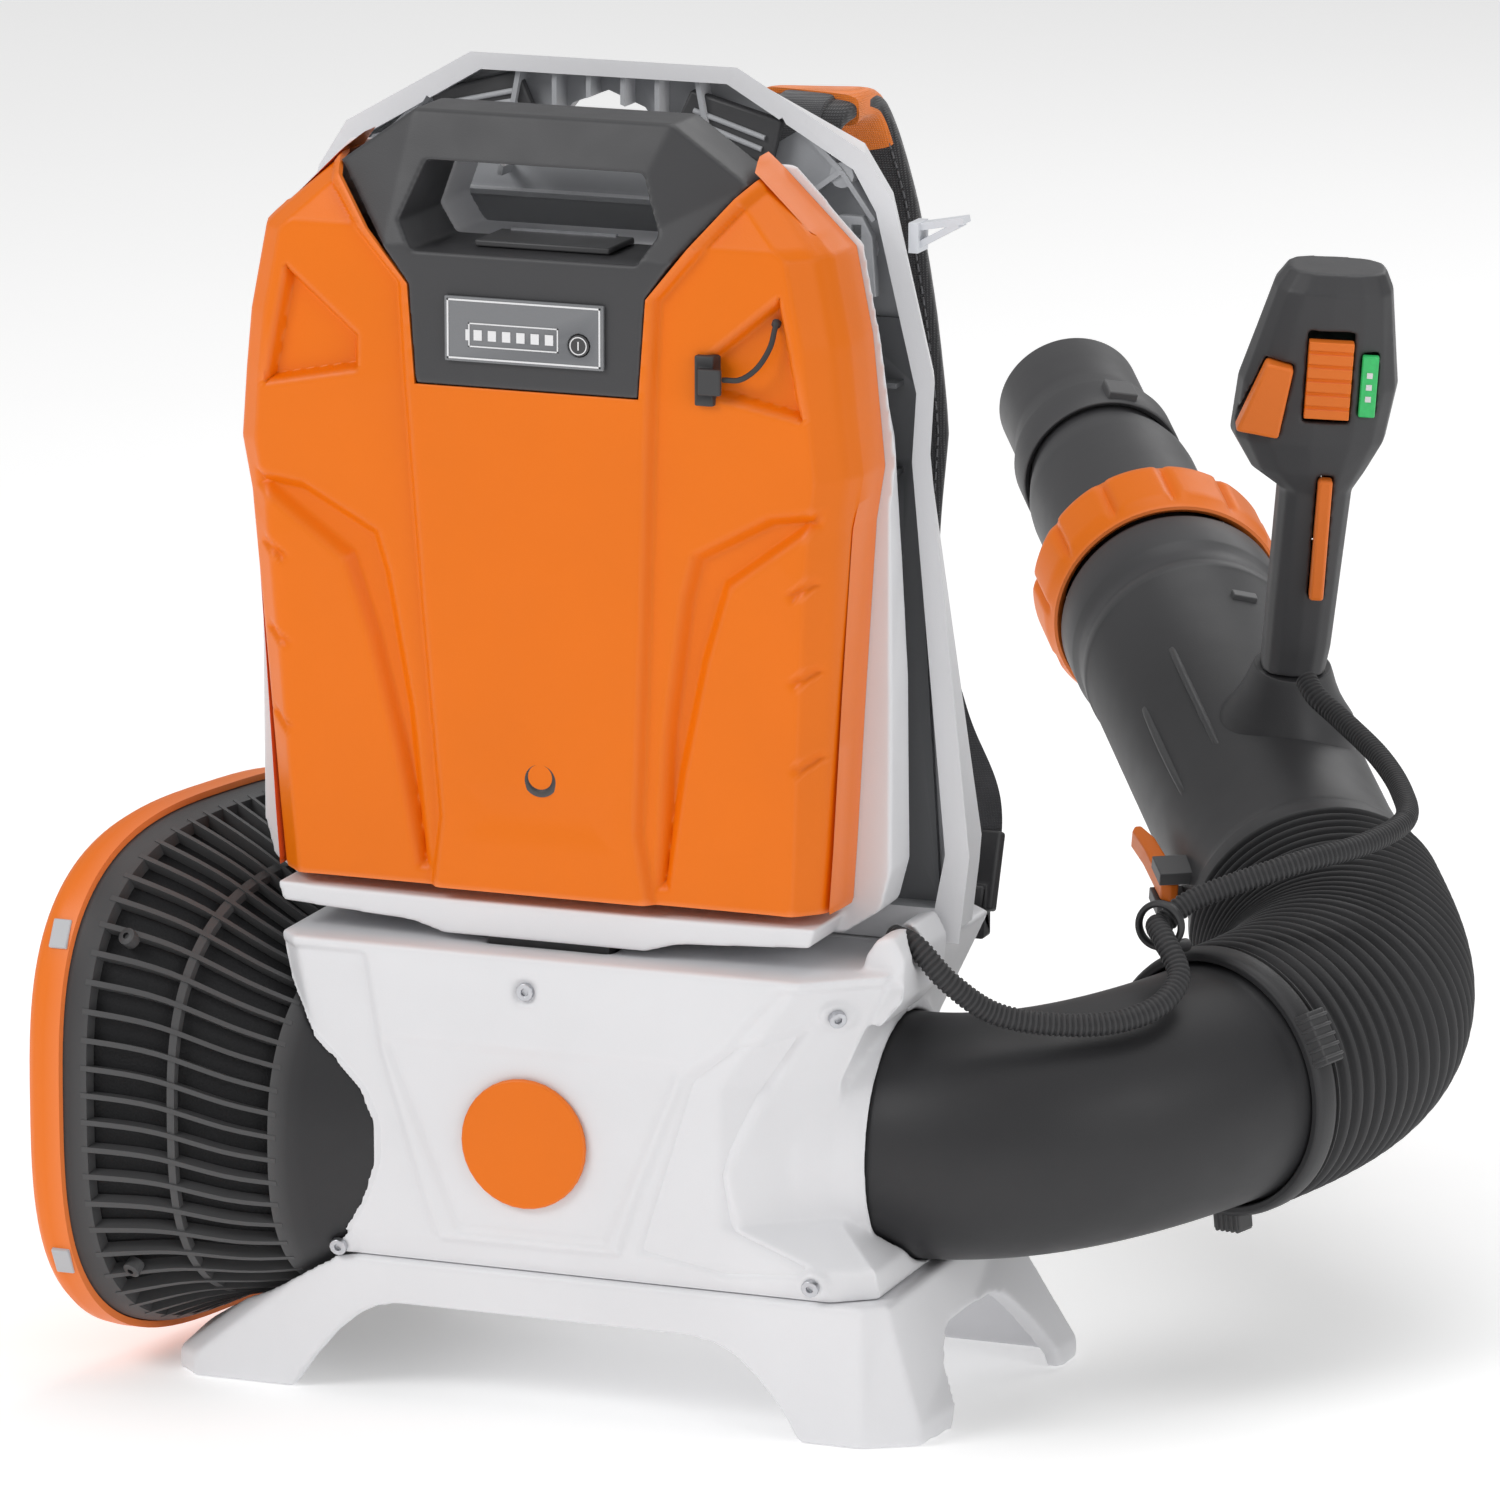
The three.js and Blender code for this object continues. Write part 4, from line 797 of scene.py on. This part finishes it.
def build_tube():
    profile = [
        (53, 0.4), (61, 0.4), (62, 1.4), (62, 11), (61.4, 13), (60, 16), (58.6, 20),
        (TUBE_R + 2, 24), (TUBE_R + 0.8, 40), (TUBE_R, 60), (TUBE_R, NUT_AT - 58),
        (TUBE_R + 0.7, NUT_AT - 57), (TUBE_R + 0.7, NUT_AT - 50), (TUBE_R + 0.1, NUT_AT - 49),
        (TUBE_R, NUT_AT - 37), (TUBE_R + 1.6, NUT_AT - 33), (TUBE_R + 2, NUT_AT - 31),
        (TUBE_R + 2, NUT_AT - 7), (TUBE_R + 1.4, NUT_AT - 5), (50.5, NUT_AT + 8),
        (50.5, NUT_AT + 12), (46.5, NUT_AT + 12), (46.5, NUT_AT - 22), (53, NUT_AT - 42)]
    parts = [lathe(profile, TUBE, 128)]
    stand = Place(TUBE(at(0, 8, 112)), TUBE.x, TUBE.z)
    parts.append(lathe([(0.1, 40), (36, 40), (33, 52), (29, 58), (25.5, 64), (22.5, 71),
                        (20.5, 77), (19, 81), (0.1, 81)], stand, 72, loop=False))
    for turn, start, end in ((-34, 96, 196), (-62, 84, 172), (34, 150, 190)):
        turned = Matrix.Rotation(math.radians(turn), 3, "Z")
        spin = lambda p, turned=turned: TUBE(turned @ p)
        rings = []
        for k in range(13):
            z = start + (end - start) * k / 12
            rise = 2.3 * math.sin(math.pi * k / 12) ** 0.5 if 0 < k < 12 else 0.05
            rings.append([spin(at(TUBE_R - 1, -2.4, z)), spin(at(TUBE_R + rise, -1.0, z)),
                          spin(at(TUBE_R + rise, 1.0, z)), spin(at(TUBE_R - 1, 2.4, z))])
        parts.append(loft(rings))
    turned = Matrix.Rotation(math.radians(14), 3, "Z")
    stud = lambda p: TUBE(turned @ p)
    parts.append(box_part(TUBE_R - 2, TUBE_R + 2.6, -6.5, 6.5, 226, 232, stud))
    parts.append(box_part(-12, -5.4, -72, -54, 32, 50, TUBE))
    parts.append(box_part(5.4, 12, -72, -54, 32, 50, TUBE))
    tube = bevel(new_object("tube_moulding", *merged(*parts)), 0.8)
    finish_piece(tube, "tube", CHARCOAL, "blow_tube", sharp=38)

    blade = [at(-5, -61.5, 34), at(-5, -66, 33), at(-5, -70, 36), at(-5, -70.6, 70),
             at(-5, -72.5, 88), at(-5, -70.5, 92), at(-5, -67, 92), at(-5, -63, 80),
             at(-5, -61.5, 60)]
    other = [at(-p.x, p.y, p.z) for p in blade]
    lever = bevel(new_object("lever_moulding", *loft([[TUBE(p) for p in blade],
                                                      [TUBE(p) for p in other]])), 1.1, 3)
    finish_piece(lever, "tube_lever", ORANGE, "quick_lever", sharp=50)

    flats = 12

    def scallop(angle, z):
        phase = (angle * flats / TAU) % 1
        notch = math.exp(-((min(phase, 1 - phase)) / 0.075) ** 2)
        tall = ramp(z - NUT_AT - 3, 8) * ramp(NUT_AT + 48 - z, 10)
        return 1 + (0.034 - 0.045 * notch) * tall

    outer = [(58.6, NUT_AT - 0.5), (60.2, NUT_AT), (60.8, NUT_AT + 2)]
    outer += [(60.8, NUT_AT + 2 + 3 * k) for k in range(1, 13)]
    outer += [(60, NUT_AT + 42), (57, NUT_AT + 48), (53, NUT_AT + 52),
              (NOZZLE_R + 0.6, NUT_AT + 52)]
    inner = [(NOZZLE_R + 0.6, NUT_AT + 42), (51.2, NUT_AT + 34), (51.2, NUT_AT + 14),
             (56, NUT_AT + 2)]
    around = 240
    rings = []
    for index, (radius, z) in enumerate(outer + inner):
        ring = []
        for k in range(around):
            angle = TAU * k / around
            reach = radius * (scallop(angle, z) if index < len(outer) - 2 else 1)
            ring.append(TUBE(at(reach * math.cos(angle), reach * math.sin(angle), z)))
        rings.append(ring)
    nut = new_object("nut_moulding", *loft(rings, loop=True))
    finish_piece(nut, "nut", ORANGE, "union_nut", sharp=45)

    nozzle = lathe([
        (NOZZLE_R - 2.6, 240), (NOZZLE_R, 240), (NOZZLE_R, 440), (NOZZLE_R - 0.6, 448),
        (NOZZLE_R - 3, 458), (NOZZLE_R - 6, 466), (NOZZLE_R - 6, 480), (NOZZLE_R - 8.6, 480),
        (NOZZLE_R - 8.6, 464), (NOZZLE_R - 2.6, 450)], TUBE, 96)
    pipe = bevel(new_object("nozzle_moulding", *nozzle), 0.7)
    finish_piece(pipe, "nozzle", CHARCOAL, "nozzle_tube", sharp=40)

    tip = lathe([
        (NOZZLE_R - 5.4, 470), (NOZZLE_R - 2.4, 467.6), (NOZZLE_R - 1.6, 469),
        (NOZZLE_R - 1.6, 490), (NOZZLE_R - 2.6, 494), (TIP_R + 1, 508), (TIP_R, 514),
        (TIP_R, TIP_END - 1.2), (TIP_R - 0.8, TIP_END), (TIP_R - 2.6, TIP_END),
        (TIP_R - 2.6, 512), (NOZZLE_R - 5.4, 488)], TUBE, 96)
    lug = box_part(-47, -41, -6, 6, 470, 484, TUBE)
    turned = Matrix.Rotation(math.radians(10), 3, "Z")
    grip = box_part(NOZZLE_R - 3, NOZZLE_R + 1.8, -8, 8, 471, 486, lambda p: TUBE(turned @ p))
    end = bevel(new_object("tip_moulding", *merged(tip, lug, grip)), 0.7)
    finish_piece(end, "tip", CHARCOAL, "nozzle_tip", sharp=40)


build_elbow()
build_tube()

# ---------- control handle ----------
TUBE_UP = TUBE.x
TUBE_RIGHT = TUBE_DIR.cross(TUBE_UP)
GRIP = Place(TUBE_START + TUBE_DIR * 112 + TUBE_RIGHT * 8 + TUBE_UP * 80,
             at(0.1, -0.1, 0.99), at(math.cos(0.3665), math.sin(0.3665), 0))


def build_handle():
    melted("handle_shell", CHARCOAL, 0.9, 9)
    rounded("lockout_lever", ORANGE, 1.6, 3)
    rounded("thumb_slider", ORANGE, 1.0, 3)
    rounded("boost_button", ORANGE, 1.6, 3)
    rounded("trigger", CHARCOAL, 1.6, 3)
    rounded("led_window", LAMP, 0.7)
    dots = []
    for z in (148, 154, 160):
        dots.append(box_part(22.6, 25.4, -26.1, -25.4, z - 1.4, z + 1.4, GRIP))
    lights = new_object("charge_lights", *merged(*dots))
    finish_piece(lights, "tube", SYMBOL, sharp=20)


build_handle()

# ---------- cables ----------
RING_AT = at(254, 60, 222)


def corrugated(name, node, line, body=None, bodies=None):
    length = sum((b - a).length for a, b in zip(line, line[1:]))
    pitch = 2.6
    steps = int(length / pitch) * 6
    fine = resampled(line, steps)
    radius = lambda i: 4.9 + 0.6 * ramp(0.5 + 0.9 * math.cos(TAU * i / 6), 1)
    cable = new_object(name, *sweep(fine, radius, 20))
    finish_piece(cable, body, RUBBER, node, sharp=80)
    if bodies:
        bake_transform(cable)


def part_of(line, start, end):
    count = len(line) - 1
    return line[round(count * start):round(count * end) + 1]


def build_cables():
    lower = spline([
        at(156.2, -33.5, 230.1), at(170, -41, 227.8), at(186, -40, 212), at(204, -30, 197),
        at(228, -18, 191), at(252, -2, 190), at(268, 16, 195), at(272, 34, 205),
        at(262, 46, 217), at(254, 56, 222), at(254, 59.8, 222)], 400)
    corrugated("cable_from_housing", "cable_lower", lower, body="machine")
    crossing = spline([
        at(254, 60.2, 222), at(254, 64, 222), at(266, 78, 232), at(304, 108, 245),
        at(326, 144, 248), at(332, 190, 250), at(318, 230, 254), at(296, 264, 262),
        at(268, 292, 272), at(252, 302, 280), at(244, 310, 286)], 1000)
    corrugated("cable_over_hose", "cable_upper", part_of(crossing, 0, 0.498),
               bodies=("machine", "hose"))
    corrugated("cable_to_handle", "cable_handle", part_of(crossing, 0.502, 1),
               bodies=("hose", "tube"))
    ring = lathe([(8.2 + 3.2 * (1 + math.cos(TAU * k / 16)) / 2 + 0.6,
                   3.2 * math.sin(TAU * k / 16)) for k in range(16)],
                 Place(RING_AT, at(0, 1, 0), at(0, 0, 1)), 48)
    post = sweep([at(254, 62, 211), at(255, 68, 210), at(257, 78, 208), at(258, 86, 207)],
                 lambda i: 3.2, 20)
    holder = new_object("cable_ring_moulding", *merged(ring, post))
    finish_piece(holder, "machine", BLACK, "cable_ring", sharp=50)


build_cables()

# ---------- harness ----------
def plate_back_at(z):
    return 26 + 20 * max(0, min(1, (430 - z) / 180))


def strap_path(side):
    end = 146 if side > 0 else 100
    points = [(74, 34, 580), (78, 52, 596), (80, 88, 590), (84, 118, 530), (92, 130, 450),
              (100, 130, 370), ((104 + end) / 2, 116, 300), (end, 104, 262)]
    return [at(side * x, y, z) for x, y, z in points]


def along(table, t):
    spot = t * (len(table) - 1)
    i = min(int(spot), len(table) - 2)
    return table[i] + (table[i + 1] - table[i]) * (spot - i)


def band(line, across, width, thickness, soft=0.5, around=24):
    """A flat section along a line: rounded for padding, nearly square for webbing."""
    rings = []
    for i, p in enumerate(line):
        t = i / (len(line) - 1)
        tangent = (line[min(i + 1, len(line) - 1)] - line[max(i - 1, 0)]).normalized()
        wide = (across - tangent * across.dot(tangent)).normalized()
        thick = tangent.cross(wide)
        ring = []
        for k in range(around):
            angle = TAU * (k + 0.5) / around
            bend = lambda v, n: math.copysign(abs(v) ** n, v)
            ring.append(p + wide * bend(math.cos(angle), 0.35) * width(t) / 2
                        + thick * bend(math.sin(angle), soft) * thickness(t) / 2)
        rings.append(ring)
    return loft(rings)


def build_straps():
    widths = [46, 56, 60, 60, 58, 40, 27, 25]
    depths = [8, 12, 13, 13, 12, 6, 4, 4]
    for name, side in (("left", -1), ("right", 1)):
        path = spline(strap_path(side), 220)
        across = at(side, 0.25, 0)
        pad = band(part_of(path, 0.02, 0.70), across, lambda t: along(widths[:6], t) - 3,
                   lambda t: along(depths[:6], t) * (1 - 0.4 * ramp(0.06 - t, 0.06)
                                                     - 0.5 * ramp(t - 0.93, 0.07)), 0.6)
        padding = new_object(f"strap_pad_{name}", *pad)
        finish_piece(padding, "machine", WEAVE, f"shoulder_strap_{name}", sharp=60)
        low, high = (plate_mm(corner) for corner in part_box(f"strap_buckle_{name}"))
        tail = spline(strap_path(side) + [(low + high) / 2], 240)
        web = band(tail, across, lambda t: 25.5, lambda t: 2.4
                   if t > 0.6 else 15.2 - 3 * abs(t - 0.35), 0.15, 16)
        webbing = new_object(f"strap_webbing_{name}", *web)
        finish_piece(webbing, "machine", WEBBING, sharp=30)
        patch = band(part_of(path, 0.08, 0.20), across, lambda t: 50, lambda t: 15.5, 0.4)
        cover = new_object(f"strap_patch_{name}", *patch)
        finish_piece(cover, "machine", PATCH, sharp=60)
        seams = []
        for offset in (-0.42, 0.42, -0.2, 0.2):
            run = []
            section = part_of(path, 0.10, 0.66)
            for i, p in enumerate(section):
                t = 0.10 + 0.56 * i / (len(section) - 1)
                tangent = (section[min(i + 1, len(section) - 1)]
                           - section[max(i - 1, 0)]).normalized()
                wide = (across - tangent * across.dot(tangent)).normalized()
                thick = tangent.cross(wide)
                share = min(1, t / 0.70)
                run.append(p + wide * offset * (along(widths[:6], share) - 3)
                           + thick * (along(depths[:6], share) / 2 - 0.2))
            for start in range(0, len(run) - 2, 3):
                seams.append(sweep([run[start], run[start + 1], run[start + 2]],
                                   lambda i: 0.45, 6))
        stitches = new_object(f"strap_stitches_{name}", *merged(*seams))
        finish_piece(stitches, "machine", THREAD, sharp=60)


def padded(shape, body, replaces, limit, voxel=5.0):
    """Swells a closed shape like filled fabric, by a short cloth simulation."""
    remesh = shape.modifiers.new("skin", "REMESH")
    remesh.mode = "VOXEL"
    remesh.voxel_size = voxel * MM
    applied(shape)
    rest = [v.co.copy() for v in shape.data.vertices]
    cloth = shape.modifiers.new("swell", "CLOTH")
    cloth.settings.quality = 6
    cloth.settings.mass = 0.3
    cloth.settings.tension_stiffness = 20
    cloth.settings.compression_stiffness = 20
    cloth.settings.bending_stiffness = 2
    cloth.settings.use_pressure = True
    cloth.settings.uniform_pressure_force = 4
    cloth.settings.effector_weights.gravity = 0
    frames = 20
    cloth.point_cache.frame_start = 1
    cloth.point_cache.frame_end = frames
    scene = bpy.context.scene
    for step in range(1, frames + 1):
        scene.frame_set(step)
    applied(shape)
    scene.frame_set(1)
    for vertex, start in zip(shape.data.vertices, rest):
        move = vertex.co - start
        if move.length > limit * MM:
            vertex.co = start + move.normalized() * limit * MM
    finer = shape.modifiers.new("smooth", "SUBSURF")
    finer.levels = finer.render_levels = 1
    return finish_piece(shape, body, WEAVE, replaces, sharp=180)


def build_back_pad():
    pad = [(-104, 262), (104, 262), (118, 300), (112, 500), (84, 566), (-84, 566),
           (-112, 500), (-118, 300)]
    outline = resampled([at(x, 0, z) for x, z in pad + pad[:1]], 96)[:-1]
    rings = []
    for share, rise in ((0.90, 1.5), (0.975, 3), (0.99, 9), (0.985, 16), (0.955, 20), (0.85, 21.5),
                        (0.6, 22), (0.3, 22)):
        rings.append([at(p.x * share, plate_back_at(415 + (p.z - 415) * share) + rise,
                         415 + (p.z - 415) * share) for p in outline])
    cushion = new_object("back_cushion", *loft(rings))
    padded(cushion, "machine", "back_pad", 5)
    seams = []
    for row in (0.78, 0.52):
        run = [at(p.x * row, plate_back_at(415 + (p.z - 415) * row) + 26.2,
                  415 + (p.z - 415) * row) for p in outline]
        run.append(run[0])
        seams.append(sweep(run, lambda i: 1.1, 8, up=at(0, 1, 0)))
    piping = new_object("back_cushion_piping", *merged(*seams))
    finish_piece(piping, "machine", WEBBING, sharp=60)


build_straps()
build_back_pad()

# ---------- hidden parts keep their CAD shapes ----------
HIDDEN = {
    "fan_duct": BLACK, "impeller": BLACK, "motor_housing": CAST, "motor_stator": COPPER,
    "bearing_front": STEEL, "bearing_rear": STEEL, "motor_rotor": STEEL,
    "controller_box": BLACK, "power_socket": BLACK, "cell_pack": CHARCOAL,
}
for node, material in HIDDEN.items():
    data = frame["nodes"][node].data
    data.materials.clear()
    data.materials.append(material)

# ---------- floor, light and camera ----------
def build_floor():
    size = 8.0
    material, tree, shader = nodes_of("pale_floor")
    tint = mixed(tree, noise(tree, 3), (0.93, 0.93, 0.93), (0.95, 0.95, 0.95))
    tree.links.new(tint, shader.inputs["Base Color"])
    shader.inputs["Roughness"].default_value = 0.85
    shader.inputs["Emission Color"].default_value = (1, 1, 1, 1)
    shader.inputs["Emission Strength"].default_value = 0.3
    mesh = bpy.data.meshes.new("floor")
    corners = [(-size, -size, 0), (size, -size, 0), (size, size, 0), (-size, size, 0)]
    mesh.from_pydata([Vector(c) - Vector((0, 0, 0.0005)) for c in corners], [], [(0, 1, 2, 3)])
    floor = bpy.data.objects.new("floor", mesh)
    bpy.context.scene.collection.objects.link(floor)
    mesh.materials.append(material)


def area_light(name, place, target, size, power):
    light = bpy.data.lights.new(name, "AREA")
    light.shape = "RECTANGLE"
    light.size, light.size_y = size
    light.energy = power
    lamp = bpy.data.objects.new(name, light)
    bpy.context.scene.collection.objects.link(lamp)
    lamp.location = place
    lamp.rotation_euler = (Vector(target) - Vector(place)).to_track_quat("-Z", "Y").to_euler()


def build_lights():
    """Soft even light; the backdrop itself is white to the camera only."""
    world = bpy.data.worlds.new("studio")
    bpy.context.scene.world = world
    world.use_nodes = True
    tree = world.node_tree
    background = tree.nodes["Background"]
    background.inputs["Color"].default_value = (1, 1, 1, 1)
    path = tree.nodes.new("ShaderNodeLightPath")
    strength = tree.nodes.new("ShaderNodeMapRange")
    strength.inputs["To Min"].default_value = 0.42
    strength.inputs["To Max"].default_value = 1.0
    tree.links.new(path.outputs["Is Camera Ray"], strength.inputs["Value"])
    tree.links.new(strength.outputs["Result"], background.inputs["Strength"])
    area_light("key", (-1.8, -2.6, 2.4), (0, 0, 0.3), (1.6, 1.2), 44)
    area_light("fill", (2.6, -1.6, 1.4), (0, 0, 0.3), (1.2, 1.4), 15)
    area_light("top", (0.2, 0.3, 3.0), (0, 0, 0.2), (2.0, 2.0), 26)
    area_light("back", (0.6, 3.0, 2.0), (0, 0, 0.3), (2.0, 1.4), 16)


def build_camera():
    camera = bpy.data.cameras.new("camera")
    camera.sensor_width = 36
    camera.lens = 240
    camera.clip_end = 100
    eye = bpy.data.objects.new("camera", camera)
    bpy.context.scene.collection.objects.link(eye)
    place, target = metres(at(1695.6, -4228.7, 1349.5)), metres(at(56.3, 42.0, 293.4))
    eye.location = place
    eye.rotation_euler = (target - place).to_track_quat("-Z", "Y").to_euler()
    bpy.context.scene.camera = eye


build_floor()
build_lights()
build_camera()
bpy.context.scene.view_settings.view_transform = "Standard"
